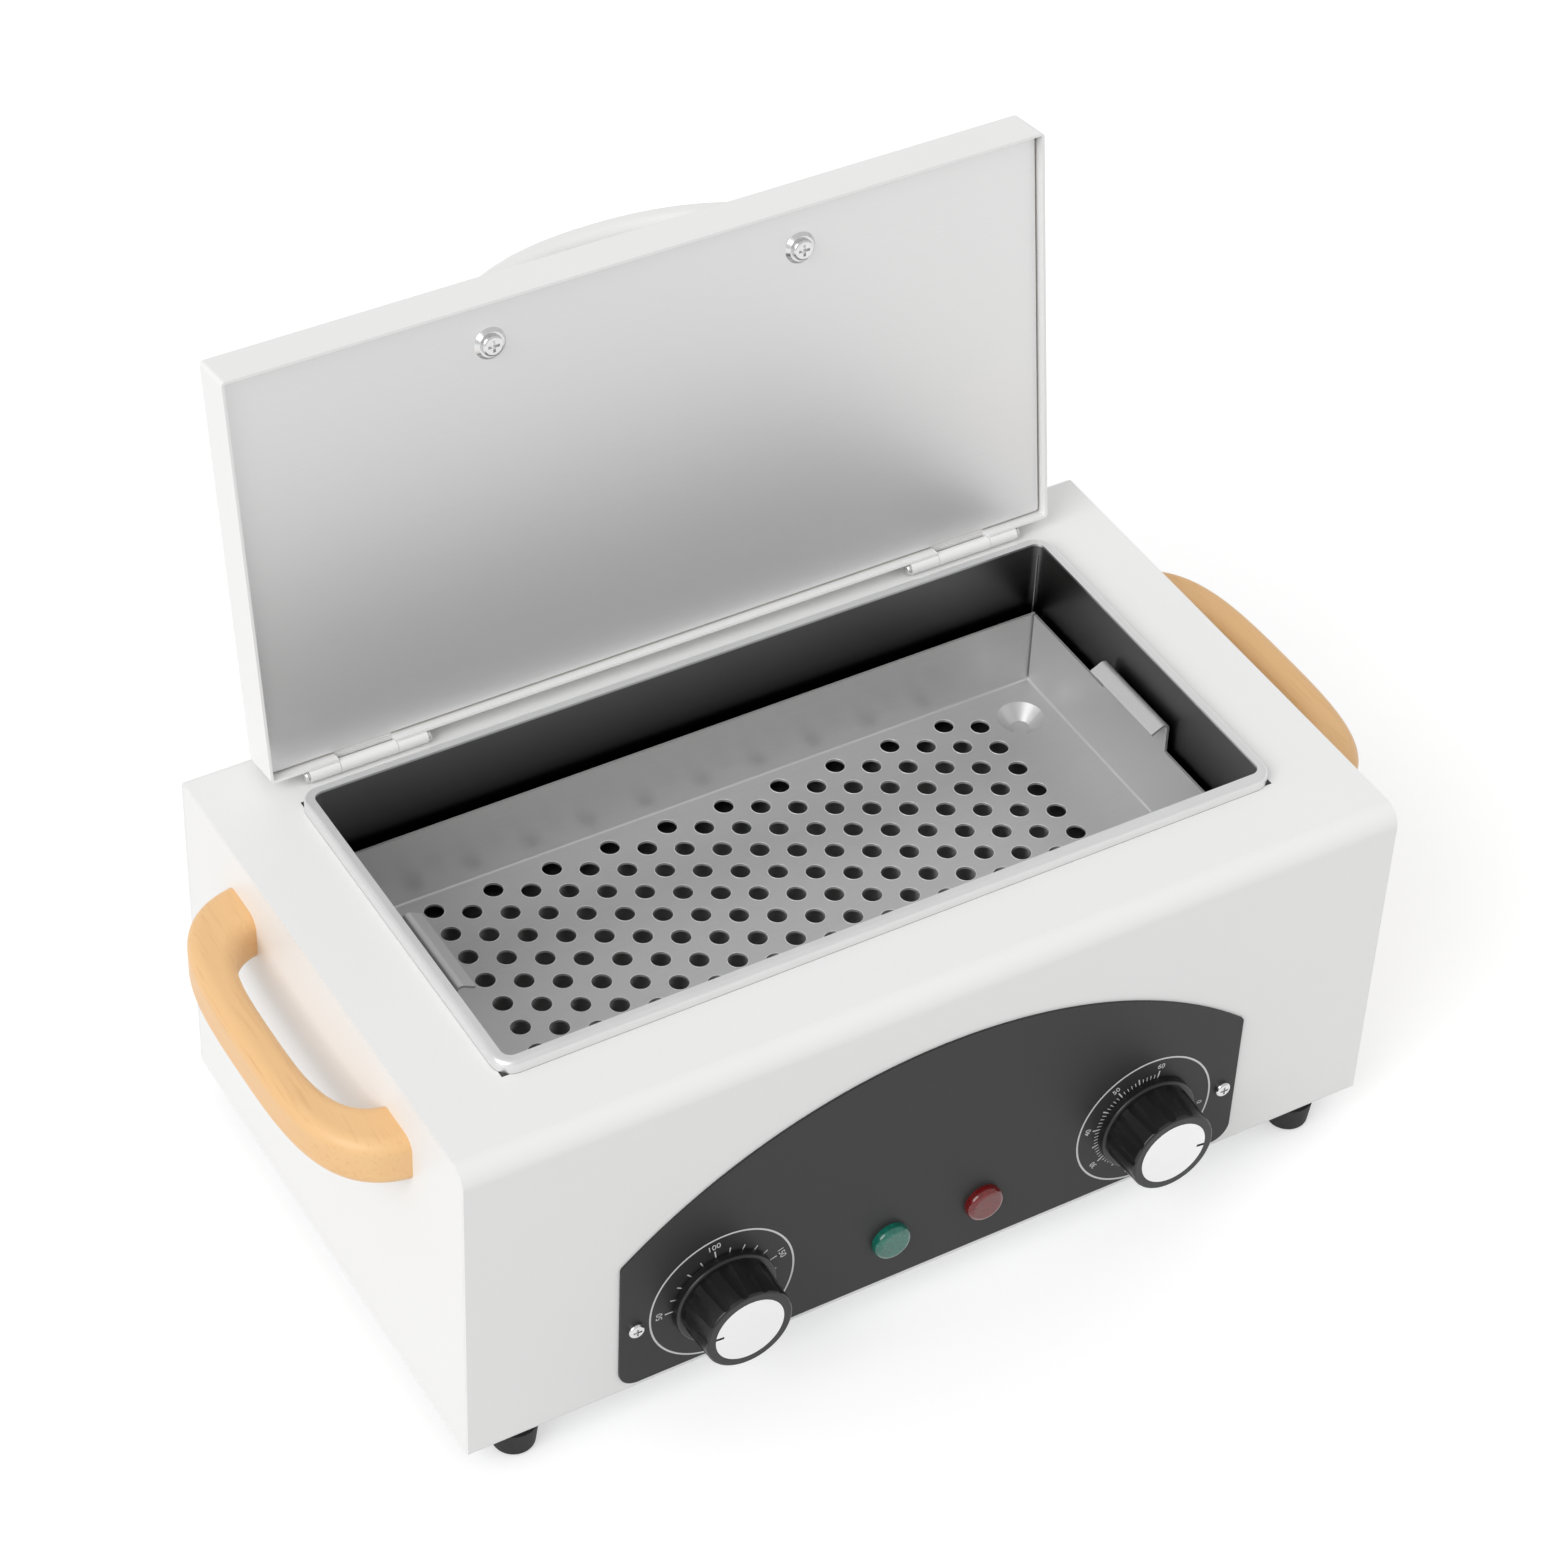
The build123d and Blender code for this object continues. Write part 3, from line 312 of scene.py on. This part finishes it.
# %% Finish makers
def start_finish(name, metallic=0.0, **constants):
    """New material with one Principled shader, its constants set on its own sockets."""
    made = bpy.data.materials.new(name)
    made.use_nodes = True
    shader = made.node_tree.nodes["Principled BSDF"]
    socket(shader, "Metallic", metallic)
    for label, value in constants.items():
        socket(shader, label.replace("_", " "), value)
    return made, made.node_tree, shader


def object_coordinates(tree):
    """The piece's own coordinates, in metres."""
    return tree.nodes.new("ShaderNodeTexCoord").outputs["Object"]


def peel_finish(name, colour, dark, roughness, size=900.0, depth=0.05, **constants):
    """Painted or moulded finish: two near colours in slow patches, over orange peel."""
    made, tree, shader = start_finish(name, **constants)
    peel = tree.nodes.new("ShaderNodeGroup")
    peel.node_tree = peel_group
    tree.links.new(object_coordinates(tree), peel.inputs["Vector"])
    peel.inputs["Size"].default_value = size
    peel.inputs["Depth"].default_value = depth
    peel.inputs["Roughness"].default_value = roughness
    mixed = mix_colour(tree, peel.outputs["Patches"], (*dark, 1), (*colour, 1))
    tree.links.new(mixed, shader.inputs["Base Color"])
    tree.links.new(peel.outputs["Roughness"], shader.inputs["Roughness"])
    tree.links.new(peel.outputs["Normal"], shader.inputs["Normal"])
    return made


def brushed_finish(
    name, colour, dark, roughness, stretch, size=400.0, depth=0.05, contrast=0.15, metallic=1.0
):
    """Metal sheet finish: two near colours along fine lines."""
    made, tree, shader = start_finish(name, metallic=metallic)
    lines = tree.nodes.new("ShaderNodeGroup")
    lines.node_tree = brushed_group
    tree.links.new(object_coordinates(tree), lines.inputs["Vector"])
    lines.inputs["Stretch"].default_value = stretch
    lines.inputs["Size"].default_value = size
    lines.inputs["Depth"].default_value = depth
    lines.inputs["Roughness"].default_value = roughness
    lines.inputs["Contrast"].default_value = contrast
    mixed = mix_colour(tree, lines.outputs["Lines"], (*dark, 1), (*colour, 1))
    tree.links.new(mixed, shader.inputs["Base Color"])
    tree.links.new(lines.outputs["Roughness"], shader.inputs["Roughness"])
    tree.links.new(lines.outputs["Normal"], shader.inputs["Normal"])
    return made


white_paint = peel_finish("white_paint", (0.90, 0.90, 0.895), (0.88, 0.88, 0.875), 0.42, 1500, 0.04)
white_plastic = peel_finish("white_plastic", (0.90, 0.90, 0.89), (0.88, 0.88, 0.87), 0.3, 800, 0.03)
panel_print = peel_finish(
    "panel_print", (0.032, 0.032, 0.032), (0.027, 0.027, 0.027), 0.45, 3000, 0.03, Specular_IOR_Level=0.3
)
black_rubber = peel_finish("black_rubber", (0.02, 0.02, 0.02), (0.012, 0.012, 0.012), 0.7, 1200, 0.2)
dark_plastic = peel_finish("dark_plastic", (0.03, 0.03, 0.032), (0.02, 0.02, 0.02), 0.5, 1500, 0.1)
knob_black = peel_finish("knob_black", (0.012, 0.012, 0.012), (0.008, 0.008, 0.008), 0.28, 2500, 0.03)
mineral_wool = peel_finish("mineral_wool", (0.72, 0.66, 0.48), (0.5, 0.45, 0.3), 0.95, 500, 1.0)
glazed_white = peel_finish("glazed_white", (0.86, 0.85, 0.8), (0.8, 0.79, 0.74), 0.15, 300, 0.02)
zinc_sheet = brushed_finish(
    "zinc_sheet", (0.66, 0.67, 0.68), (0.5, 0.51, 0.53), 0.42, (1, 1, 1), 120, 0.05, 0.25
)
bright_steel = brushed_finish(
    "bright_steel", (0.78, 0.78, 0.78), (0.66, 0.66, 0.66), 0.2, (1, 1, 1), 900, 0.03, 0.1
)
tray_steel = brushed_finish(
    "tray_steel", (0.66, 0.66, 0.66), (0.60, 0.60, 0.60), 0.42, (0.03, 1, 1), 2500, 0.04, 0.1, 0.55
)
liner_steel = brushed_finish(
    "liner_steel", (0.80, 0.80, 0.80), (0.77, 0.77, 0.77), 0.40, (0.02, 1, 1), 2500, 0.02, 0.06, 0.65
)
silver_cap = brushed_finish(
    "silver_cap", (0.86, 0.86, 0.86), (0.8, 0.8, 0.8), 0.24, (0.05, 1, 1), 3000, 0.04, 0.1
)
brass = brushed_finish("brass", (0.78, 0.6, 0.3), (0.68, 0.5, 0.24), 0.3, (1, 1, 1), 900, 0.03, 0.1)
copper = brushed_finish("copper", (0.8, 0.45, 0.32), (0.66, 0.34, 0.24), 0.35, (1, 1, 1), 900, 0.03, 0.1)
print("finishes", len(bpy.data.materials))

# %% [markdown]
# The chamber's rolled bead is bright and the walls below it are dark in the photograph. The
# floor under the tray is pale. It is one steel throughout, so a ramp over the height paints all
# three into one finish: painted light on the floor, painted shade and dark reflection on the
# walls, and a painted highlight on the bead. Inside the mouth the painted shade reaches almost
# to the bead's top, and outside it stops at the case.

# %% Chamber steel with painted light and shade
LIP_DEPTH = 0.9 * MM
BEAD_WIDTH = 3.2 * MM
WALL_MARGIN = 0.3 * MM
FLOOR_BAND = 2.0 * MM
FLOOR_FADE = 0.05
MIDDLE = 0.58
EDGE_STEP = 0.005
# These greys are painted light on one steel: a lit floor, shaded and dark-reflecting walls, a
# highlighted bead.
PAINTED_FLOOR_LIGHT = (0.42, 0.38)
PAINTED_WALL_SHADE = (0.02, 0.014, 0.20)
PAINTED_BEAD_HIGHLIGHT = (0.90, 0.94)


def mouth_mask(tree, place):
    """One within the tank's mouth and on its walls, nought on the bead outside them."""
    masks = []
    for axis, low, high in (("X", tank_low.x, tank_high.x), ("Y", tank_low.y, tank_high.y)):
        reach = (high - low) / 2 - BEAD_WIDTH + WALL_MARGIN
        masks.append(math_node(tree, "COMPARE", place.outputs[axis], (low + high) / 2, reach))
    return math_node(tree, "MULTIPLY", *masks)


def height_ramp(tree, height, highlight_from):
    """Painted light over the tank's height: lit floor, shaded walls, painted highlight above one height.
    """
    ramp = tree.nodes.new("ShaderNodeValToRGB")
    tree.links.new(height, ramp.inputs["Fac"])
    span = tank_high.z - tank_low.z
    bright = (highlight_from - tank_low.z) / span
    floor_end = FLOOR_BAND / span
    places = (0.0, floor_end, floor_end + FLOOR_FADE, MIDDLE, bright, bright + EDGE_STEP, 1.0)
    greys = (*PAINTED_FLOOR_LIGHT, *PAINTED_WALL_SHADE, *PAINTED_BEAD_HIGHLIGHT)
    steps = ramp.color_ramp.elements
    for count, (position, grey) in enumerate(zip(places, greys)):
        step = steps[count] if count < 2 else steps.new(position)
        step.position = position
        step.color = (grey, grey, grey, 1)
    return ramp.outputs["Color"]


def chamber_finish(name):
    """Sheet with light and shade painted by height: lit floor, shaded walls, highlighted bead."""
    made = brushed_finish(
        name, (1.0, 1.0, 1.0), (0.92, 0.92, 0.92), 0.36, (0.05, 0.05, 1), 2500, 0.03, 0.1
    )
    tree = made.node_tree
    shader = tree.nodes["Principled BSDF"]
    place = tree.nodes.new("ShaderNodeSeparateXYZ")
    tree.links.new(object_coordinates(tree), place.inputs[0])
    height = tree.nodes.new("ShaderNodeMapRange")
    height.inputs["From Min"].default_value = tank_low.z
    height.inputs["From Max"].default_value = tank_high.z
    tree.links.new(place.outputs["Z"], height.inputs["Value"])
    inside = mouth_mask(tree, place)
    # Two painted light ramps: outside the mouth the painted highlight starts at the case's top, inside
    # just under the tank's top.
    outer = height_ramp(tree, height.outputs["Result"], case_top)
    inner = height_ramp(tree, height.outputs["Result"], tank_high.z - LIP_DEPTH)
    tone = mix_colour(tree, inside, outer, inner)
    colour_socket = shader.inputs["Base Color"]
    lines = colour_socket.links[0].from_socket
    tree.links.new(mix_colour(tree, 1.0, lines, tone, "MULTIPLY"), colour_socket)
    return made


chamber_steel_painted_light = chamber_finish("chamber_steel_painted_light")
print("chamber from", round(tank_low.z, 4), "to", round(tank_high.z, 4))

# %% [markdown]
# Beech is pale orange-brown with short darker flecks along the grain. The handles are cut
# from a board, so the grain runs straight along the part's length, not round the bend.

# %% Beech
FLECK_THRESHOLD = 0.54
FLECK_STRENGTH = 1.2


def beech_finish(name, along):
    """Beech: long soft bands and short flecks, both stretched along the grain."""
    made, tree, shader = start_finish(name, Coat_Weight=0.15, Coat_Roughness=0.3)
    stretched = tree.nodes.new("ShaderNodeMapping")
    stretched.inputs["Scale"].default_value = along
    tree.links.new(object_coordinates(tree), stretched.inputs["Vector"])
    bands = tree.nodes.new("ShaderNodeTexNoise")
    bands.inputs["Scale"].default_value = 60.0
    bands.inputs["Detail"].default_value = 4.0
    tree.links.new(stretched.outputs[0], bands.inputs["Vector"])
    flecks = tree.nodes.new("ShaderNodeTexNoise")
    flecks.inputs["Scale"].default_value = 900.0
    flecks.inputs["Detail"].default_value = 2.0
    tree.links.new(stretched.outputs[0], flecks.inputs["Vector"])
    body = mix_colour(tree, bands.outputs[0], (0.80, 0.46, 0.19, 1), (0.94, 0.62, 0.31, 1))
    above = math_node(tree, "SUBTRACT", flecks.outputs[0], FLECK_THRESHOLD)
    mask = math_node(tree, "MULTIPLY", above, FLECK_STRENGTH)
    clipped = math_node(tree, "MAXIMUM", mask, 0.0)
    speckled = mix_colour(tree, clipped, body, (0.62, 0.31, 0.11, 1))
    tree.links.new(speckled, shader.inputs["Base Color"])
    rough = math_node(tree, "ADD", math_node(tree, "MULTIPLY", bands.outputs[0], 0.15), 0.38)
    tree.links.new(rough, shader.inputs["Roughness"])
    bump = tree.nodes.new("ShaderNodeBump")
    bump.inputs["Strength"].default_value = 0.1
    bump.inputs["Distance"].default_value = 0.0002
    tree.links.new(flecks.outputs[0], bump.inputs["Height"])
    tree.links.new(bump.outputs["Normal"], shader.inputs["Normal"])
    return made


beech = beech_finish("beech", (1.0, 0.06, 1.0))
print("beech nodes", len(beech.node_tree.nodes))

# %% [markdown]
# The lamp lenses are tinted clear plastic. A lens is thick for its size, so it shows as a deep
# colour with a bright glint, and a plain transmission with a coloured base gives that.

# %% Lenses
def lens_finish(name, colour):
    """Tinted clear plastic with a fine prism pattern pressed inside."""
    made, tree, shader = start_finish(
        name, Transmission_Weight=0.35, IOR=1.49, Roughness=0.12, Coat_Weight=0.6
    )
    prisms = tree.nodes.new("ShaderNodeTexVoronoi")
    prisms.inputs["Scale"].default_value = 900.0
    tree.links.new(object_coordinates(tree), prisms.inputs["Vector"])
    darker = tuple(channel * 0.55 for channel in colour)
    mixed = mix_colour(tree, prisms.outputs["Distance"], (*darker, 1), (*colour, 1))
    tree.links.new(mixed, shader.inputs["Base Color"])
    return made


green_lens = lens_finish("green_lens", (0.01, 0.27, 0.19))
red_lens = lens_finish("red_lens", (0.30, 0.010, 0.012))
print("lenses", green_lens.name, red_lens.name)

# %% [markdown]
# Most sheet parts have their right shape already, so they keep their solids and only get a
# finish. The table below says which finish each kind of part wears.

# %% Dress the solids
finish_of = {
    "housing_shell": white_paint, "left_side_panel": white_paint, "right_side_panel": white_paint,
    "lid_shell": white_paint, "lid_handle": white_plastic, "base_plate": zinc_sheet,
    "chamber": chamber_steel_painted_light, "tray": tray_steel, "lid_liner": liner_steel,
    "insulation_jacket": mineral_wool, "lid_insulation": mineral_wool,
    "insulation_brackets": zinc_sheet, "heating_element": bright_steel,
    "element_straps": zinc_sheet, "left_handle": beech, "right_handle": beech,
    "control_panel": panel_print, "green_lamp_lens": green_lens, "red_lamp_lens": red_lens,
    "sensing_bulb": copper, "terminal_block": glazed_white, "cord_gland": dark_plastic,
}
ending_of = {
    "_screws": bright_steel, "_nuts": bright_steel, "_washers": bright_steel, "_nut": brass,
    "_spindle": brass, "_body": dark_plastic, "_holder": dark_plastic, "_knob": knob_black,
    "_cap": silver_cap, "_leaf": white_paint, "_pin": bright_steel,
}
for name, node in nodes.items():
    finish = finish_of.get(name)
    if finish is None and name.startswith("foot_") and name.split("_")[1] in ("front", "back"):
        finish = black_rubber
    if finish is None:
        finish = [value for ending, value in ending_of.items() if name.endswith(ending)][0]
    node.data.materials.clear()
    node.data.materials.append(finish)
print("dressed", len(nodes))

# %% [markdown]
# The dial marks are silk-screen print: a ring, short lines and numbers in pale grey, flat on
# the panel and almost without thickness. They could be painted in a material, but a thin mesh
# keeps every edge sharp at any distance, so each mark is a flat solid 0.04 mm thick. The
# print lies on the panel, so it moves with the housing while the knobs turn in front of it.

# %% Dial print
PRINT_THICKNESS = 0.04 * MM
RING_RADIUS = 23.0 * MM
RING_LINE = 0.6 * MM
NUMBER_RADIUS = 20.0 * MM
MARK_WIDTH = 0.42 * MM

print_grey = peel_finish("print_grey", (0.72, 0.72, 0.72), (0.66, 0.66, 0.66), 0.5, 2000, 0.02)


def on_dial(middle, radius, angle):
    """Point on the panel's face, from a dial's middle, at an angle seen from the front."""
    turn = math.radians(angle)
    return Vector((
        middle.x + radius * math.cos(turn),
        panel_face - PRINT_THICKNESS / 2,
        middle.z + radius * math.sin(turn),
    ))


def print_ring(middle):
    """Thin flat ring round a dial."""
    deselect()
    bpy.ops.mesh.primitive_torus_add(
        location=on_dial(middle, 0.0, 0.0),
        rotation=(math.radians(90), 0, 0),
        major_radius=RING_RADIUS,
        minor_radius=RING_LINE / 2,
        major_segments=128,
        minor_segments=8,
    )
    ring = bpy.context.object
    ring.scale = (1, 1, PRINT_THICKNESS / RING_LINE)
    bpy.ops.object.transform_apply(location=True, rotation=True, scale=True)
    return ring


def print_mark(middle, inner, outer, angle, width=MARK_WIDTH):
    """One straight mark between two radii, pointing at the dial's middle."""
    deselect()
    bpy.ops.mesh.primitive_cube_add(
        size=1,
        location=on_dial(middle, (inner + outer) / 2, angle),
        rotation=(0, -math.radians(angle), 0),
        scale=(outer - inner, PRINT_THICKNESS, width),
    )
    mark = bpy.context.object
    bpy.ops.object.transform_apply(location=True, rotation=True, scale=True)
    return mark


def print_number(words, middle, radius, angle, height):
    """Number or short word with its top outwards, as mesh."""
    deselect()
    bpy.ops.object.text_add()
    text = bpy.context.object
    text.data.body = words
    text.data.size = height
    text.data.align_x = "CENTER"
    text.data.align_y = "CENTER"
    text.data.extrude = PRINT_THICKNESS / 2
    text.data.resolution_u = 3
    bpy.ops.object.convert(target="MESH")
    number = bpy.context.object
    number.rotation_euler = (math.radians(90), -math.radians(angle - 90), 0)
    number.location = on_dial(middle, radius, angle)
    bpy.ops.object.transform_apply(location=True, rotation=True, scale=True)
    return number


def join_pieces(pieces, name, finish, body):
    """One piece from several, in one finish, riding with its body."""
    deselect()
    for piece in pieces:
        piece.select_set(True)
    bpy.context.view_layer.objects.active = pieces[0]
    bpy.ops.object.join()
    joined = bpy.context.object
    joined.name = name
    joined.data.materials.clear()
    joined.data.materials.append(finish)
    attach(joined, body)
    return joined


# %% [markdown]
# The thermostat runs clockwise from 50 to 200 degrees. Its numbers stand at every 50 with a
# long mark, and a short mark stands at every 10 between them.

# %% Thermostat print
THERMOSTAT_FIRST = 50
THERMOSTAT_FIRST_ANGLE = 179.2
THERMOSTAT_STEP_ANGLE = -16.05
THERMOSTAT_STEPS = 16
DEGREES_PER_STEP = 10
DEGREES_PER_NUMBER = 50
THERMOSTAT_LONG_MARK = (14.8 * MM, 18.3 * MM)
THERMOSTAT_SHORT_MARK = (15.4 * MM, 17.4 * MM)
THERMOSTAT_NUMBER_HEIGHT = 2.9 * MM
thermostat_marks = [print_ring(thermostat_middle)]
for step in range(THERMOSTAT_STEPS):
    value = THERMOSTAT_FIRST + DEGREES_PER_STEP * step
    angle = THERMOSTAT_FIRST_ANGLE + THERMOSTAT_STEP_ANGLE * step
    if value % DEGREES_PER_NUMBER == 0:
        thermostat_marks.append(print_mark(thermostat_middle, *THERMOSTAT_LONG_MARK, angle))
        thermostat_marks.append(
            print_number(str(value), thermostat_middle, NUMBER_RADIUS, angle, THERMOSTAT_NUMBER_HEIGHT)
        )
    else:
        width = 0.8 * MARK_WIDTH
        thermostat_marks.append(print_mark(thermostat_middle, *THERMOSTAT_SHORT_MARK, angle, width))
thermostat_print = join_pieces(thermostat_marks, "thermostat_print", print_grey, "housing")
print("thermostat marks", len(thermostat_marks), "faces", len(thermostat_print.data.polygons))

# %% [markdown]
# The timer runs clockwise over an hour with a mark for each minute, a longer one for each
# five and a number for each ten.

# %% Timer print
TIMER_ZERO_ANGLE = -8.0
TIMER_MINUTE_ANGLE = 4.567
TIMER_MARK_START = 15.6 * MM
TEN_MINUTE_END = 18.3 * MM
FIVE_MINUTE_END = 17.9 * MM
MINUTE_END = 17.2 * MM
TIMER_NUMBER_HEIGHT = 2.6 * MM
timer_marks = [print_ring(timer_middle)]
for minute in range(61):
    angle = TIMER_ZERO_ANGLE - TIMER_MINUTE_ANGLE * minute
    outer = TEN_MINUTE_END if minute % 10 == 0 else FIVE_MINUTE_END if minute % 5 == 0 else MINUTE_END
    width = MARK_WIDTH if minute % 5 == 0 else 0.6 * MARK_WIDTH
    timer_marks.append(print_mark(timer_middle, TIMER_MARK_START, outer, angle, width))
    if minute % 10 == 0:
        timer_marks.append(
            print_number(str(minute), timer_middle, NUMBER_RADIUS, angle, TIMER_NUMBER_HEIGHT)
        )
timer_print = join_pieces(timer_marks, "timer_print", print_grey, "housing")
print("timer marks", len(timer_marks), "faces", len(timer_print.data.polygons))

# %% [markdown]
# The case's cut-out has sharp corners and the bead's corners are round, so a small dark gap
# looks out past each of them. A very flat dark square under each corner of the bead is painted
# shade standing in for that gap; its sides stay hidden under the straight runs of the bead.

# %% Painted shade at the cut-out's corners
SHADE_SQUARE_SIDE = 3.0 * MM
SHADE_SQUARE_INSET = 2.3 * MM
SHADE_SQUARE_THICKNESS = 0.06 * MM


def flat_square(x, y):
    """Flat square of painted shade on the case's top."""
    deselect()
    bpy.ops.mesh.primitive_cube_add(
        size=1,
        location=(x, y, case_top + SHADE_SQUARE_THICKNESS / 2),
        scale=(SHADE_SQUARE_SIDE, SHADE_SQUARE_SIDE, SHADE_SQUARE_THICKNESS),
    )
    square = bpy.context.object
    bpy.ops.object.transform_apply(location=True, rotation=True, scale=True)
    return square


painted_shade_squares = [
    flat_square(x, y)
    for x in (tank_low.x + SHADE_SQUARE_INSET, tank_high.x - SHADE_SQUARE_INSET)
    for y in (tank_low.y + SHADE_SQUARE_INSET, tank_high.y - SHADE_SQUARE_INSET)
]
# The dark squares are painted shade, in the dark plastic's finish.
cutout_painted_shade = join_pieces(painted_shade_squares, "cutout_painted_shade", dark_plastic, "housing")
print("cut-out painted shade", len(painted_shade_squares), "faces", len(cutout_painted_shade.data.polygons))

# %% [markdown]
# Each punched hole of the tray has a fine turned edge that catches the light. A ring as thin as
# that edge lies on the floor round every hole, paler than the tray's steel: a painted highlight.
# The holes follow the tray's own two grids.

# %% Painted highlights round the tray's holes
HOLE_RADIUS = 3.0 * MM
HOLE_PITCH_X = 9.7 * MM
HOLE_PITCH_Y = 10.8 * MM
HOLE_PAIRS = 10
HOLE_ROWS = 10
HIGHLIGHT_LINE = 0.22 * MM
TRAY_FLOOR_RISE = 4.8 * MM
tray_floor = tray_low.z + TRAY_FLOOR_RISE
tray_middle = (tray_low + tray_high) / 2


def hole_places():
    """Centres of the tray's holes: a full grid, and one with a row less in between."""
    for shift, rows in ((-0.5, HOLE_ROWS), (0.5, HOLE_ROWS - 1)):
        for pair in range(HOLE_PAIRS):
            for row in range(rows):
                yield (
                    tray_middle.x + (shift + 2 * (pair - (HOLE_PAIRS - 1) / 2)) * HOLE_PITCH_X,
                    tray_middle.y + (row - (rows - 1) / 2) * HOLE_PITCH_Y,
                )


def edge_ring(x, y):
    """Fine ring of painted highlight round one hole."""
    deselect()
    bpy.ops.mesh.primitive_torus_add(
        location=(x, y, tray_floor),
        major_radius=HOLE_RADIUS + HIGHLIGHT_LINE / 2,
        minor_radius=HIGHLIGHT_LINE / 2,
        major_segments=40,
        minor_segments=6,
    )
    ring = bpy.context.object
    bpy.ops.object.transform_apply(location=True, rotation=True, scale=True)
    return ring


# Paler than the tray's steel: the ring's colour is painted highlight.
hole_edge_highlight = brushed_finish(
    "hole_edge_highlight", (0.97, 0.97, 0.97), (0.90, 0.90, 0.90), 0.3, (1, 1, 1), 900, 0.02, 0.1, 0.35
)
highlight_rings = [edge_ring(x, y) for x, y in hole_places()]
hole_highlights = join_pieces(highlight_rings, "tray_hole_highlights", hole_edge_highlight, "housing")
print("hole highlights", len(highlight_rings), "faces", len(hole_highlights.data.polygons))

# %% [markdown]
# The photograph shows one light upright line in the tank's inner corner, from the bead down
# to the tray, and a sharp corner beside it. The solid tank has a small round corner there, so a
# thin light rod in each corner gives that line as a painted highlight.

# %% Painted corner highlights
CORNER_INSET = 4.25 * MM
LINE_RADIUS = 0.28 * MM
line_low = tray_floor
line_high = case_top


def corner_line(x, y):
    """Upright line of painted highlight in one inner corner of the tank."""
    deselect()
    bpy.ops.mesh.primitive_cylinder_add(
        vertices=12,
        radius=LINE_RADIUS,
        depth=line_high - line_low,
        location=(x, y, (line_low + line_high) / 2),
    )
    line = bpy.context.object
    bpy.ops.object.transform_apply(location=True, rotation=True, scale=True)
    return line


# The rod's grey is painted highlight along the tank's round corner.
painted_corner_highlight = brushed_finish(
    "painted_corner_highlight", (0.42, 0.42, 0.42), (0.36, 0.36, 0.36), 0.4, (1, 1, 1), 900, 0.02, 0.1
)
corner_highlights = [
    corner_line(x, y)
    for x in (tank_low.x + CORNER_INSET, tank_high.x - CORNER_INSET)
    for y in (tank_low.y + CORNER_INSET, tank_high.y - CORNER_INSET)
]
tank_corner_highlights = join_pieces(corner_highlights, "tank_corner_highlights", painted_corner_highlight, "housing")
print("corner highlights", len(corner_highlights), "faces", len(tank_corner_highlights.data.polygons))
